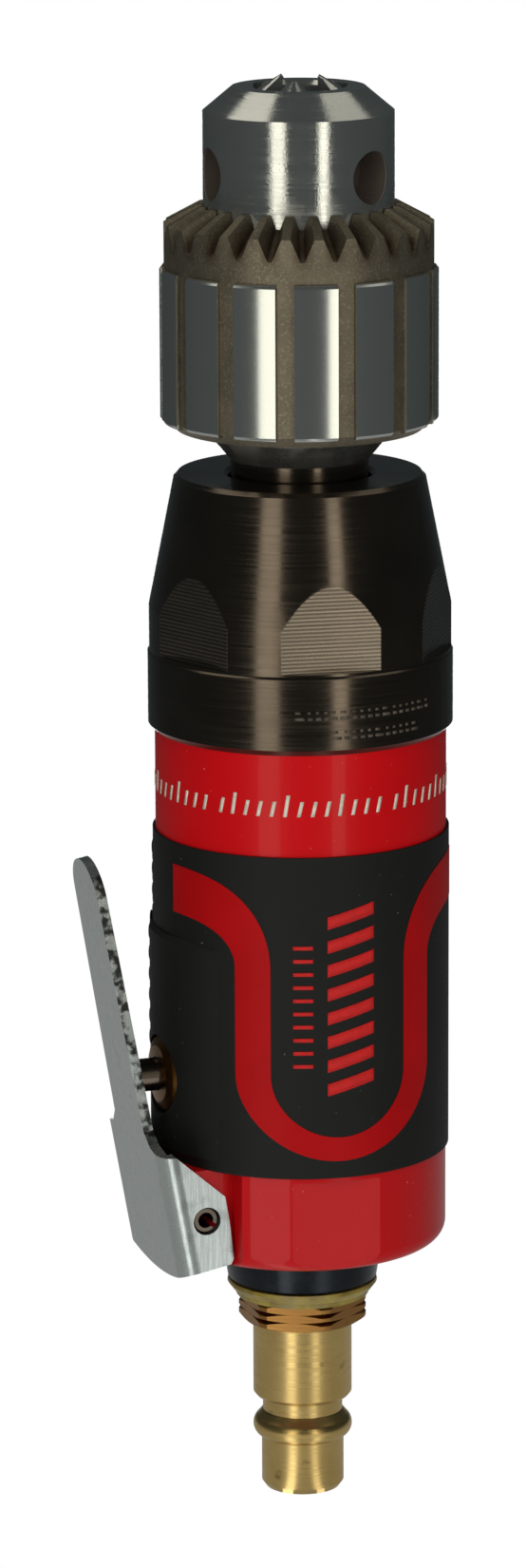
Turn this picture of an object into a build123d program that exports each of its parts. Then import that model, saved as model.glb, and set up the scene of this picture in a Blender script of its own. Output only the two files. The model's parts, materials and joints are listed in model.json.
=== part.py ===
from build123d import *
import os
from math import acos, asin, cos, degrees, pi, radians, sin, sqrt, tan

# Straight air drill: 10 mm keyed chuck, planetary gear, vane motor, lever throttle, inlet plug.
# The tool axis is +Z towards the chuck, and the origin is the tip of the inlet plug.
# Azimuths are in degrees about +Z, 0 along +X and 270 along -Y.

# ---- fits ----
running_gap = 0.05        # radial gap of a shaft or sliding rod
turning_gap = 0.15        # radial gap of parts that turn past each other
face_gap = 0.2            # axial gap beside a turning face
soft_gap = 0.3            # gap beside rubber and felt
overshoot = 1.0           # how far a cutter runs past the surface it opens

# ---- inlet plug, DN 7.2 ----
plug_bore_r = 3.6
plug_nose_r = 5.0
plug_collar_r = 6.0
plug_neck_r = 4.85
plug_barrel_r = 6.0
plug_collar_z = 8.1
plug_collar_height = 3.4
plug_barrel_z = 11.4
plug_hex_z = 21.4
plug_hex_height = 3.3
plug_hex_af = 14.0
plug_hex_azimuth = 261.5
plug_hex_corner_r = 7.75
plug_groove_height = 0.55
plug_groove_rises = (1.15, 2.15)     # of the two grooves above the foot of the hexagon
plug_thread_r = 6.58
plug_thread_height = 9.5

# ---- sealing washer and inlet bushing ----
washer_z = plug_hex_z + plug_hex_height
washer_small_r = 8.07
washer_large_r = 9.1
washer_height = 1.9
washer_step = 0.7
bushing_z = washer_z + washer_height
bushing_tip_r = 9.05
bushing_r = 9.8
bushing_thread_height = 10.0
screen_height = 1.2

# ---- housing ----
housing_z = 31.85
housing_r = 17.4
grip_z = 43.9
grip_height = 39.1
grip_core_r = housing_r - 1.8
band_z = grip_z + grip_height
band_height = 12.24
spigot_r = 15.3
motor_bore_r = 13.5
motor_z = 61.6
inlet_bore_r = 4.6
side_flat_distance = housing_r - 0.85
side_flat_azimuths = (284.0, 104.0)
side_flat_rise = 3.2               # of the flats' foot above the rear face
side_flat_width = 14.0
side_flat_height = 16.5
side_flat_corner_r = 2.5
side_facet_distance = housing_r - 0.17
side_facet_azimuth = 257.0
side_facet_width = 4.9

# ---- exhaust in the rear face ----
muffler_r = 13.2
muffler_bore_r = 10.9
muffler_height = 6.4
exhaust_ring_height = 1.3
exhaust_hole_r = 0.7
exhaust_hole_count = 16
exhaust_port_r = 1.0
exhaust_port_distance = 12.05
exhaust_port_angles = (140.0, 180.0, 220.0)   # from the lever
supply_r = 1.6
supply_distance = 11.0

# ---- rubber grip and its inlay ----
grip_r = housing_r + 0.35
lever_pad_r = 15.5                  # its own radius, centred towards the lever
lever_pad_rise = 0.65
lever_pad_low_z = grip_z + 0.8
lever_pad_high_z = 71.5
inlay_azimuth = 285.2
inlay_depth = 0.9
inlay_proud = 0.05
inlay_inner_half = 8.17
inlay_outer_half = 11.82
inlay_bottom_z = 46.0
inlay_bottom_width = 2.9
inlay_bend_z = 56.5
inlay_arm_half = 17.06
inlay_arm_top_z = 80.4
inlay_arm_width = 5.8
inlay_arm_bend_z = 69.4
inlay_arm_half_angle = 73.9

# ---- throttle lever ----
lever_azimuth = 200.0
lever_sheet = 1.2
lever_tilt = 10.2
lever_press_angle = 10.0
lever_pin_r = 1.65
lever_pin_distance = housing_r - 1.5
lever_pin_z = 38.0
lever_back_offset = 3.04           # from the pin axis to the inner face of the web
lever_half_width = 10.4
lever_strip_base_half = 5.35
lever_strip_tip_half = 4.3
lever_length_up = 44.5             # along the web, from the pin to the tip
lever_shoulder_up = 10.4
lever_shoulder_rise = 1.7
lever_length_down = 7.6
lever_bend_r = 2.4
ear_inner_distance = lever_pin_distance - 3.4
ear_gap = 0.1                      # between an ear and the housing's boss
boss_distance = lever_pin_distance + 2.4
lever_pin_wall = 0.7
lever_pin_slot = 0.55

# ---- throttle valve ----
valve_z = 53.8
valve_bush_r = 4.3
valve_bush_head_r = 4.75
valve_bush_tip_distance = grip_r + 0.85
valve_bush_inner_distance = 7.2
valve_bush_port_r = 1.4
valve_bush_cavity_r = 2.7
valve_bush_cavity_end = 12.0
valve_bush_groove = 13.5
valve_chamber_end = -6.6
plunger_r = 2.0
plunger_tip_distance = valve_bush_tip_distance + 3.05
plunger_dome_r = 5.0
plunger_travel = 2.75
stem_r = 1.2
poppet_r = 3.5
poppet_height = 1.6
seal_height = 0.5
seal_wire_r = 0.6
spring_wire_r = 0.35
spring_coil_r = 2.6
spring_turns = 6

# ---- vane motor ----
rear_plate_height = 5.0
cylinder_height = 25.0
front_plate_height = 5.0
cylinder_bore_r = 10.6
cylinder_offset = 1.2
rotor_r = 9.3
rotor_journal_r = 2.5
vane_count = 5
vane_thickness = 1.5
vane_root_r = 4.9
motor_bearing_r = 6.5
motor_bearing_height = 4.0
motor_ball_count = 8
dowel_r = 0.75
dowel_distance = 12.3
dowel_sink = 1.5
cylinder_port_rises = (6.0, 10.0, 14.0, 18.0)

# ---- planetary gear ----
gear_module = 0.5
sun_teeth = 15
planet_teeth = 15
ring_teeth = 45
pressure_angle = 25.0
tooth_backlash = 0.1
planet_count = 3
planet_pin_r = 1.5
first_planet_azimuth = 90.0
ring_gear_height = 7.7
carrier_r = 12.2
carrier_height = 4.0

# ---- spindle and its bearings ----
spindle_r = 6.0
spindle_collar_r = 8.2
spindle_thread_r = 4.76
spindle_thread_height = 9.0
screw_r = 2.5
screw_depth = 12.0
screw_head_r = 4.2
screw_head_height = 2.4
spindle_bearing_r = 12.0
spindle_bearing_height = 6.0
spindle_ball_count = 12
spacer_height = 1.2

# ---- clamp nut ----
nut_z = band_z + band_height
nut_ring_r = 18.19
nut_ring_height = 9.42
nut_r = 18.0
nut_cone_z = 110.0
nut_top_z = 125.8
nut_top_r = 14.97
nut_flat_distance = 17.0
nut_flat_azimuth = 282.0
nut_flat_z = 105.0
nut_lip_height = 2.6

# ---- chuck ----
chuck_z = 127.6
chuck_tail_r = 8.3
chuck_tail_top_r = 10.8
chuck_nose_r = 11.27
chuck_face_r = 7.87
chuck_face_z = 171.45
chuck_bevel_z = 168.6
chuck_mouth_r = 5.15
chuck_mouth_floor_z = 144.0
key_hole_r = 3.15
key_hole_z = 161.6
key_hole_floor_r = 6.6
key_hole_azimuths = (320.0, 200.0, 80.0)
jaw_azimuths = (260.0, 20.0, 140.0)

# ---- chuck jaws ----
jaw_tilt = 15.0
jaw_r = 2.9
jaw_grip_r = 2.4
jaw_point_angle = 45.0             # slope of the pointed end from square
jaw_tip_z = 172.7
jaw_tip_axis_r = 2.6
jaw_length = 22.4
jaw_back_travel = 10.0

# ---- chuck sleeve ----
sleeve_z = 131.2
sleeve_r = 15.9
sleeve_land_r = 16.45
sleeve_land_z = 132.1
sleeve_land_top_z = 150.4
sleeve_land_angle = 18.0
sleeve_land_count = 14
sleeve_land_azimuth = 276.7
sleeve_bottom_r = 14.6
sleeve_inner_r = 14.35
sleeve_tooth_z = 155.6
sleeve_tooth_inner_z = 157.7
sleeve_tooth_inner_r = 12.0
sleeve_tooth_count = 26
sleeve_notch_azimuth = 271.2
sleeve_notch_depth = 2.6
sleeve_notch_share = 0.4            # half of a notch's width, as a share of the tooth pitch
split_nut_z = 146.2
split_nut_height = 5.0
thrust_washer_height = 0.8

# ---- places worked out from the sizes above ----
rear_plate_z = motor_z
cylinder_z = rear_plate_z + rear_plate_height
front_plate_z = cylinder_z + cylinder_height
ring_gear_z = front_plate_z + front_plate_height
housing_top_z = ring_gear_z + ring_gear_height
carrier_z = housing_top_z + face_gap
bearing_seat_z = carrier_z + carrier_height + spacer_height
front_bearing_z = bearing_seat_z + spindle_bearing_height + spacer_height
spindle_collar_z = front_bearing_z + spindle_bearing_height
planet_distance = gear_module * (sun_teeth + planet_teeth) / 2
jaw_rise = cos(radians(jaw_tilt))
jaw_lean = sin(radians(jaw_tilt))


def direction(azimuth):
    return cos(radians(azimuth)), sin(radians(azimuth))


def radial_plane(azimuth):
    """A sketch plane through the tool axis: x is the distance from the axis, y the height."""
    c, s = direction(azimuth)
    return Plane(origin=(0, 0, 0), x_dir=(c, s, 0), z_dir=(s, -c, 0))


def facing_plane(azimuth, distance, height):
    """A sketch plane that faces outwards: x runs round the tool, y is the height."""
    c, s = direction(azimuth)
    return Plane(origin=(distance * c, distance * s, height), x_dir=(-s, c, 0), z_dir=(c, s, 0))


def jaw_plane(azimuth, height):
    """A sketch plane across a jaw, its centre on the jaw's axis at the given height."""
    c, s = direction(azimuth)
    r = jaw_tip_axis_r + (jaw_tip_z - height) * tan(radians(jaw_tilt))
    return Plane(origin=(r * c, r * s, height), x_dir=(-s, c, 0),
                 z_dir=(-jaw_lean * c, -jaw_lean * s, jaw_rise))


def turn(*outline, mode=Mode.ADD, axis=Axis.Z, plane=Plane.XZ, arc=360):
    """Revolve a closed outline of (radius, height) points."""
    with BuildSketch(plane) as profile:
        with BuildLine():
            Polyline(*outline, close=True)
        make_face()
    revolve(profile.sketch, axis=axis, revolution_arc=arc, mode=mode)


def tube(inner, outer, low, high, mode=Mode.ADD):
    """A plain tube or, with no inner radius, a disc on the tool axis."""
    turn((inner, low), (outer, low), (outer, high), (inner, high), mode=mode)


def rod(plane, radius, length, mode=Mode.ADD):
    """A round rod or drilling that starts on a plane and runs along its normal."""
    with BuildSketch(plane) as profile:
        Circle(radius)
    extrude(profile.sketch, amount=length, mode=mode)


def block(plane, width, height, length, mode=Mode.ADD, align=(Align.CENTER, Align.CENTER)):
    """A rectangular block that starts on a plane and runs along its normal."""
    with BuildSketch(plane) as profile:
        Rectangle(width, height, align=align)
    extrude(profile.sketch, amount=length, mode=mode)


def ball_ring(pitch_r, ball_r, height, count):
    """The balls of one bearing."""
    with Locations((0, 0, height)):
        with PolarLocations(pitch_r, count):
            Sphere(ball_r)


def save(part, label):
    part.label = label
    export_step(part, f"parts/{label}.step")


os.makedirs("parts", exist_ok=True)

# ================= inlet =================

with BuildPart() as air_plug:
    collar_low = plug_collar_z - plug_collar_height / 2
    collar_high = plug_collar_z + plug_collar_height / 2
    with BuildSketch(Plane.XZ):
        with BuildLine():
            Polyline((plug_bore_r, 0), (plug_nose_r - 0.5, 0), (plug_nose_r, 0.7),
                     (plug_nose_r, collar_low), (plug_collar_r - 0.5, collar_low + 0.3))
            ThreePointArc((plug_collar_r - 0.5, collar_low + 0.3), (plug_collar_r, plug_collar_z),
                          (plug_collar_r - 0.5, collar_high - 0.8))
            Polyline((plug_collar_r - 0.5, collar_high - 0.8), (plug_neck_r, collar_high),
                     (plug_neck_r, plug_barrel_z), (plug_barrel_r - 0.35, plug_barrel_z + 0.25),
                     (plug_barrel_r, plug_barrel_z + 0.7), (plug_barrel_r, plug_hex_z),
                     (plug_bore_r, plug_hex_z), (plug_bore_r, 0))
        make_face()
    revolve(axis=Axis.Z)
    block_r = plug_hex_af / sqrt(3)
    with BuildSketch(Plane.XY.offset(plug_hex_z)):
        RegularPolygon(block_r, 6, rotation=plug_hex_azimuth + 30)
    extrude(amount=plug_hex_height)
    corner_chamfer = plug_hex_corner_r - plug_hex_af / 2
    for foot, rise in ((plug_hex_z, 1), (washer_z, -1)):
        turn((plug_hex_af / 2, foot - rise * overshoot), (block_r + 1, foot - rise * overshoot),
             (block_r + 1, foot + rise * corner_chamfer / 2),
             (plug_hex_corner_r, foot + rise * corner_chamfer / 2),
             (plug_hex_af / 2, foot), mode=Mode.SUBTRACT)
    tube(plug_hex_corner_r, block_r + 1, plug_hex_z, washer_z, mode=Mode.SUBTRACT)
    for rise in plug_groove_rises:
        middle = plug_hex_z + rise
        turn((plug_hex_af / 2, middle), (plug_hex_corner_r + 0.1, middle - plug_groove_height / 2 - 0.05),
             (plug_hex_corner_r + 0.1, middle + plug_groove_height / 2 + 0.05), mode=Mode.SUBTRACT)
    tube(0, plug_thread_r, washer_z, washer_z + plug_thread_height)
    tube(0, plug_bore_r, -overshoot, washer_z + plug_thread_height + overshoot, mode=Mode.SUBTRACT)
    chamfer(air_plug.edges().filter_by(GeomType.CIRCLE).group_by(Axis.Z)[-1], 0.6)
save(air_plug.part, "air_plug")

with BuildPart() as sealing_washer:
    step = washer_z + washer_step
    turn((plug_thread_r, washer_z), (washer_small_r, washer_z), (washer_small_r, step - 0.1),
         (washer_large_r - 0.6, step), (washer_large_r, bushing_z - 0.4),
         (washer_large_r - 0.1, bushing_z), (plug_thread_r, bushing_z))
save(sealing_washer.part, "sealing_washer")

screen_z = bushing_z + plug_thread_height - washer_height + 0.6
bushing_top_z = housing_z + bushing_thread_height
with BuildPart() as inlet_bushing:
    turn((plug_thread_r, bushing_z), (bushing_tip_r - 0.4, bushing_z),
         (bushing_tip_r, bushing_z + 0.4), (bushing_r, housing_z - 0.2),
         (bushing_r, bushing_top_z - 0.8), (bushing_r - 0.8, bushing_top_z),
         (inlet_bore_r, bushing_top_z), (inlet_bore_r, screen_z + screen_height + 0.4),
         (plug_thread_r, screen_z + screen_height + 0.4))
save(inlet_bushing.part, "inlet_bushing")

with BuildPart() as inlet_screen:
    tube(0, plug_thread_r, screen_z, screen_z + screen_height)
    with Locations((0, 0, screen_z)):
        with GridLocations(1.5, 1.5, 6, 6):
            Box(0.9, 0.9, 4 * screen_height, mode=Mode.SUBTRACT)
    tube(plug_thread_r - 1.2, plug_thread_r, screen_z, screen_z + screen_height)
save(inlet_screen.part, "inlet_screen")

with BuildPart() as exhaust_ring:
    tube(muffler_bore_r, muffler_r, housing_z, housing_z + exhaust_ring_height)
    with Locations((0, 0, housing_z)):
        with PolarLocations((muffler_r + muffler_bore_r) / 2, exhaust_hole_count):
            Cylinder(exhaust_hole_r, 4 * exhaust_ring_height, mode=Mode.SUBTRACT)
save(exhaust_ring.part, "exhaust_ring")

muffler_z = housing_z + exhaust_ring_height
with BuildPart() as muffler_felt:
    tube(muffler_bore_r, muffler_r, muffler_z, muffler_z + muffler_height - soft_gap)
save(muffler_felt.part, "muffler_felt")

# ================= lever, in its own radial plane =================

lever_plane = radial_plane(lever_azimuth)
lever_c, lever_s = direction(lever_azimuth)
lever_pin_axis = Axis((lever_pin_distance * lever_c, lever_pin_distance * lever_s, lever_pin_z),
                      (-lever_s, lever_c, 0))
lever_lean = tan(radians(lever_tilt))
lever_rise = cos(radians(lever_tilt))
lever_inner_half = lever_half_width - lever_sheet


def web_point(up, out):
    """A point of the lever's side view, up the web from the pin and out from its inner face."""
    x = lever_pin_distance + (lever_back_offset + out) * lever_rise + up * sin(radians(lever_tilt))
    z = lever_pin_z - (lever_back_offset + out) * sin(radians(lever_tilt)) + up * lever_rise
    return x, z


web_x, web_z = web_point(0, lever_sheet)
web_plane = Plane(origin=(web_x * lever_c, web_x * lever_s, web_z),
                  x_dir=(-lever_s, lever_c, 0),
                  z_dir=(lever_rise * lever_c, lever_rise * lever_s, -sin(radians(lever_tilt))))

with BuildPart() as throttle_lever:
    with BuildSketch(lever_plane) as side_view:
        with BuildLine():
            Polyline(web_point(-lever_length_down, lever_sheet), web_point(lever_length_up, lever_sheet),
                     web_point(lever_length_up, 0), web_point(lever_shoulder_up, 0),
                     web_point(lever_shoulder_up - 1.5, -0.6),
                     (ear_inner_distance + 1.1, lever_pin_z + 2.8),
                     (ear_inner_distance + 0.6, lever_pin_z),
                     (ear_inner_distance, housing_z + 1.2), (ear_inner_distance + 0.5, housing_z + 0.3),
                     web_point(-lever_length_down + 1.2, -0.4), close=True)
        make_face()
    extrude(side_view.sketch, amount=lever_half_width, both=True)
    bend_edges = throttle_lever.edges().filter_by(
        lambda e: abs(e.length - lever_length_up - lever_length_down) < 0.01)
    fillet(bend_edges, lever_bend_r)
    with BuildSketch(lever_plane) as hollow_view:
        with BuildLine():
            Polyline(web_point(-lever_length_down - overshoot, 0),
                     web_point(lever_shoulder_up + overshoot, 0),
                     (ear_inner_distance - 3, grip_z + 9), (ear_inner_distance - 3, housing_z - 5),
                     close=True)
        make_face()
    extrude(hollow_view.sketch, amount=lever_inner_half, both=True, mode=Mode.SUBTRACT)
    with BuildSketch(web_plane) as face_view:
        with BuildLine():
            Polyline((-lever_half_width - 1, lever_shoulder_up - lever_shoulder_rise - 8),
                     (-lever_half_width, lever_shoulder_up - lever_shoulder_rise),
                     (-lever_strip_base_half - 1.4, lever_shoulder_up - 0.8),
                     (-lever_strip_base_half, lever_shoulder_up + 0.8),
                     (-lever_strip_tip_half, lever_length_up - lever_strip_tip_half))
            ThreePointArc((-lever_strip_tip_half, lever_length_up - lever_strip_tip_half),
                          (0, lever_length_up),
                          (lever_strip_tip_half, lever_length_up - lever_strip_tip_half))
            Polyline((lever_strip_tip_half, lever_length_up - lever_strip_tip_half),
                     (lever_strip_base_half, lever_shoulder_up + 0.8),
                     (lever_strip_base_half + 1.4, lever_shoulder_up - 0.8),
                     (lever_half_width, lever_shoulder_up - lever_shoulder_rise),
                     (lever_half_width + 1, lever_shoulder_up - lever_shoulder_rise - 8),
                     (lever_half_width + 1, -lever_length_down + 1.8))
            ThreePointArc((lever_half_width + 1, -lever_length_down + 1.8), (0, -lever_length_down),
                          (-lever_half_width - 1, -lever_length_down + 1.8))
            Line((-lever_half_width - 1, -lever_length_down + 1.8),
                 (-lever_half_width - 1, lever_shoulder_up - lever_shoulder_rise - 8))
        make_face()
    extrude(face_view.sketch, amount=-2 * lever_pin_distance, mode=Mode.INTERSECT)
    rod(Plane(origin=lever_pin_axis.position, z_dir=lever_pin_axis.direction).offset(-lever_half_width - 1),
        lever_pin_r + running_gap, 2 * lever_half_width + 2, mode=Mode.SUBTRACT)
save(throttle_lever.part, "throttle_lever")

with BuildPart() as lever_pin:
    pin_half = lever_half_width - 0.5
    pin_plane = Plane(origin=lever_pin_axis.position, x_dir=(0, 0, 1), z_dir=lever_pin_axis.direction)
    rod(pin_plane.offset(-pin_half), lever_pin_r, 2 * pin_half)
    chamfer(lever_pin.edges().filter_by(GeomType.CIRCLE), 0.25)
    rod(pin_plane.offset(-pin_half - 1), lever_pin_r - lever_pin_wall, 2 * pin_half + 2, mode=Mode.SUBTRACT)
    slot_plane = Plane(origin=pin_plane.origin, x_dir=Vector(-0.82 * lever_c, -0.82 * lever_s, -0.57),
                       z_dir=lever_pin_axis.direction)
    block(slot_plane.offset(-pin_half - 1), lever_pin_r + 1, lever_pin_slot, 2 * pin_half + 2,
          align=(Align.MIN, Align.CENTER), mode=Mode.SUBTRACT)
save(lever_pin.part, "lever_pin")

# ================= housing =================

boss_half = lever_inner_half - ear_gap
with BuildPart() as housing:
    with BuildSketch(Plane.XZ):
        with BuildLine():
            Polyline((0, housing_z), (housing_r - 2.2, housing_z))
            ThreePointArc((housing_r - 2.2, housing_z), (housing_r - 0.65, housing_z + 0.65),
                          (housing_r, housing_z + 2.2))
            Polyline((housing_r, housing_z + 2.2), (housing_r, grip_z), (grip_core_r, grip_z),
                     (grip_core_r, band_z), (housing_r, band_z), (housing_r, nut_z), (spigot_r, nut_z),
                     (spigot_r, housing_top_z), (0, housing_top_z), (0, housing_z))
        make_face()
    revolve(axis=Axis.Z)
    with BuildSketch(lever_plane) as boss_view:
        with BuildLine():
            Polyline((housing_r / 2, housing_z), (housing_r, housing_z),
                     (boss_distance, lever_pin_z - 1.5), (boss_distance, grip_z), (housing_r / 2, grip_z),
                     close=True)
        make_face()
    extrude(boss_view.sketch, amount=boss_half, both=True)
    with BuildSketch(facing_plane(lever_azimuth, ear_inner_distance - soft_gap,
                                  housing_z - overshoot)) as ear_slots:
        for side in (-1, 1):
            with Locations((side * (boss_half + housing_r / 2), 0)):
                Rectangle(housing_r, grip_z - housing_z + overshoot, align=(Align.CENTER, Align.MIN))
    extrude(ear_slots.sketch, amount=housing_r, mode=Mode.SUBTRACT)
    for azimuth in side_flat_azimuths:
        with BuildSketch(facing_plane(azimuth, side_flat_distance, housing_z + side_flat_rise)) as flat:
            RectangleRounded(side_flat_width, side_flat_height, side_flat_corner_r)
        extrude(flat.sketch, amount=housing_r, mode=Mode.SUBTRACT)
    block(facing_plane(side_facet_azimuth, side_facet_distance, housing_z - overshoot), side_facet_width,
          grip_z - housing_z + overshoot, housing_r, align=(Align.CENTER, Align.MIN), mode=Mode.SUBTRACT)
    tube(0, motor_bore_r, motor_z, housing_top_z + overshoot, mode=Mode.SUBTRACT)
    tube(0, bushing_r, housing_z - overshoot, bushing_top_z, mode=Mode.SUBTRACT)
    tube(0, inlet_bore_r, housing_z, valve_z, mode=Mode.SUBTRACT)
    tube(muffler_bore_r, muffler_r, housing_z - overshoot, muffler_z + muffler_height,
         mode=Mode.SUBTRACT)
    rod(facing_plane(lever_azimuth, valve_chamber_end, valve_z), valve_bush_r, 2 * housing_r,
        mode=Mode.SUBTRACT)
    for angle in exhaust_port_angles:
        port_c, port_s = direction(lever_azimuth + angle)
        port_plane = Plane(origin=(exhaust_port_distance * port_c, exhaust_port_distance * port_s,
                                   muffler_z + muffler_height - overshoot))
        rod(port_plane, exhaust_port_r, motor_z - muffler_z, mode=Mode.SUBTRACT)
    supply_plane = Plane(origin=(supply_distance * lever_c, supply_distance * lever_s, valve_z))
    rod(supply_plane, supply_r, motor_z - valve_z + overshoot, mode=Mode.SUBTRACT)
    rod(pin_plane.offset(-lever_half_width), lever_pin_r, 2 * lever_half_width, mode=Mode.SUBTRACT)
save(housing.part, "housing")

# ================= grip and inlay =================

with BuildSketch(facing_plane(inlay_azimuth, 0, 0)) as inlay_outline:
    foot_drop = inlay_bend_z - inlay_bottom_z
    arm_rise = inlay_arm_top_z - inlay_arm_bend_z
    with BuildLine():
        EllipticalCenterArc((0, inlay_bend_z), inlay_outer_half, foot_drop, start_angle=270, arc_size=90)
        Line((inlay_outer_half, inlay_bend_z), (inlay_outer_half, inlay_arm_bend_z))
        EllipticalCenterArc((inlay_arm_half, inlay_arm_bend_z), inlay_arm_half - inlay_outer_half,
                            arm_rise - inlay_arm_width, start_angle=90, arc_size=90)
        Polyline((inlay_arm_half, inlay_arm_top_z - inlay_arm_width),
                 (grip_r, inlay_arm_top_z - inlay_arm_width + 0.1), (grip_r, inlay_arm_top_z),
                 (inlay_arm_half, inlay_arm_top_z))
        EllipticalCenterArc((inlay_arm_half, inlay_arm_bend_z), inlay_arm_half - inlay_inner_half,
                            arm_rise, start_angle=90, arc_size=90)
        Line((inlay_inner_half, inlay_arm_bend_z), (inlay_inner_half, inlay_bend_z))
        EllipticalCenterArc((0, inlay_bend_z), inlay_inner_half, foot_drop - inlay_bottom_width,
                            start_angle=270, arc_size=90)
        Line((0, inlay_bottom_z + inlay_bottom_width), (0, inlay_bottom_z))
    make_face()
    mirror(about=Plane.YZ)

with BuildPart() as grip_inlay:
    floor_r = grip_r - inlay_depth
    skin_r = grip_r + inlay_proud
    turn((floor_r, grip_z), (skin_r, grip_z), (skin_r, band_z), (floor_r, band_z),
         plane=radial_plane(inlay_azimuth - inlay_arm_half_angle), arc=2 * inlay_arm_half_angle)
    extrude(inlay_outline.sketch, amount=2 * grip_r, mode=Mode.INTERSECT)
save(grip_inlay.part, "grip_inlay")

with BuildPart() as grip_sleeve:
    tube(grip_core_r, grip_r, grip_z, band_z)
    pad_offset = grip_r + lever_pad_rise - lever_pad_r
    with Locations((pad_offset * lever_c, pad_offset * lever_s, lever_pad_low_z)):
        Cylinder(lever_pad_r, lever_pad_high_z - lever_pad_low_z,
                 align=(Align.CENTER, Align.CENTER, Align.MIN))
    chamfer(grip_sleeve.edges().filter_by(GeomType.CIRCLE).filter_by(
        lambda e: abs(e.radius - lever_pad_r) < 0.001), 0.5)
    tube(0, grip_core_r, grip_z, band_z, mode=Mode.SUBTRACT)
    rod(facing_plane(lever_azimuth, 0, valve_z), valve_bush_head_r, 2 * grip_r, mode=Mode.SUBTRACT)
    add(grip_inlay.part, mode=Mode.SUBTRACT)
save(grip_sleeve.part, "grip_sleeve")

# ================= throttle valve, on its own radial axis =================

valve_axis = Axis((0, 0, valve_z), (lever_c, lever_s, 0))


def valve_turn(*outline, mode=Mode.ADD):
    """Revolve a closed outline of (distance, radius) points about the valve's axis."""
    turn(*[(x, valve_z + r) for x, r in outline], axis=valve_axis, plane=lever_plane, mode=mode)


with BuildPart() as valve_bush:
    bore_r = plunger_r + running_gap
    valve_turn((valve_bush_inner_distance, valve_bush_cavity_r), (valve_bush_inner_distance, valve_bush_r),
               (valve_bush_groove, valve_bush_r), (valve_bush_groove, valve_bush_r - 2 * seal_wire_r),
               (valve_bush_groove + 2.4 * seal_wire_r, valve_bush_r - 2 * seal_wire_r),
               (valve_bush_groove + 2.4 * seal_wire_r, valve_bush_r), (grip_core_r, valve_bush_r),
               (grip_core_r, valve_bush_head_r), (valve_bush_tip_distance - 0.9, valve_bush_head_r),
               (valve_bush_tip_distance - 0.6, valve_bush_head_r - 0.35),
               (valve_bush_tip_distance - 0.15, 3.4), (valve_bush_tip_distance, bore_r),
               (valve_bush_cavity_end, bore_r), (valve_bush_cavity_end, valve_bush_cavity_r))
    rod(supply_plane, valve_bush_port_r, valve_bush_r + overshoot, mode=Mode.SUBTRACT)
save(valve_bush.part, "valve_bush")

with BuildPart() as valve_oring:
    with BuildSketch(lever_plane):
        with Locations((valve_bush_groove + 1.2 * seal_wire_r, valve_z + valve_bush_r - seal_wire_r)):
            Circle(seal_wire_r)
    revolve(axis=valve_axis)
save(valve_oring.part, "valve_oring")

poppet_outer = valve_bush_inner_distance - 0.1 - seal_height
poppet_inner = poppet_outer - poppet_height
with BuildPart() as valve_plunger:
    dome_half_angle = asin(plunger_r / plunger_dome_r)
    dome_centre = plunger_tip_distance - plunger_dome_r
    dome_drop = plunger_dome_r * (1 - cos(dome_half_angle))
    with BuildSketch(lever_plane):
        with BuildLine():
            Polyline((plunger_tip_distance, valve_z), (poppet_inner, valve_z),
                     (poppet_inner, valve_z + stem_r), (valve_bush_cavity_end + 0.6, valve_z + stem_r),
                     (valve_bush_cavity_end + 0.6, valve_z + plunger_r),
                     (plunger_tip_distance - dome_drop, valve_z + plunger_r))
            ThreePointArc((plunger_tip_distance - dome_drop, valve_z + plunger_r),
                          (dome_centre + plunger_dome_r * cos(dome_half_angle / 2),
                           valve_z + plunger_dome_r * sin(dome_half_angle / 2)),
                          (plunger_tip_distance, valve_z))
        make_face()
    revolve(axis=valve_axis)
save(valve_plunger.part, "valve_plunger")

with BuildPart() as valve_poppet:
    valve_turn((poppet_inner, stem_r), (poppet_inner, poppet_r - 0.3), (poppet_inner + 0.3, poppet_r),
               (poppet_outer, poppet_r), (poppet_outer, stem_r))
save(valve_poppet.part, "valve_poppet")

with BuildPart() as poppet_seal:
    valve_turn((poppet_outer, stem_r), (poppet_outer, poppet_r - 0.1),
               (poppet_outer + seal_height, poppet_r - 0.1), (poppet_outer + seal_height, stem_r))
save(poppet_seal.part, "poppet_seal")

with BuildPart() as valve_spring:
    spring_low = valve_chamber_end + spring_wire_r + 0.05
    spring_high = poppet_inner - spring_wire_r - 0.05
    with BuildLine() as coil:
        Helix(pitch=(spring_high - spring_low) / spring_turns, height=spring_high - spring_low,
              radius=spring_coil_r, center=(spring_low * lever_c, spring_low * lever_s, valve_z),
              direction=(lever_c, lever_s, 0))
    with BuildSketch(Plane(origin=coil.line @ 0, z_dir=coil.line % 0)) as wire_section:
        Circle(spring_wire_r)
    sweep(sections=wire_section.sketch, path=coil.line, is_frenet=True)
save(valve_spring.part, "valve_spring")

# ================= vane motor =================

port_planes = [Plane(origin=(exhaust_port_distance * direction(lever_azimuth + angle)[0],
                             exhaust_port_distance * direction(lever_azimuth + angle)[1], rear_plate_z))
               for angle in exhaust_port_angles]
dowel_plane = Plane(origin=(dowel_distance * direction(lever_azimuth + 90)[0],
                            dowel_distance * direction(lever_azimuth + 90)[1],
                            rear_plate_z + dowel_sink))
dowel_length = rear_plate_height + cylinder_height + front_plate_height - 2 * dowel_sink - 0.5

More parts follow.
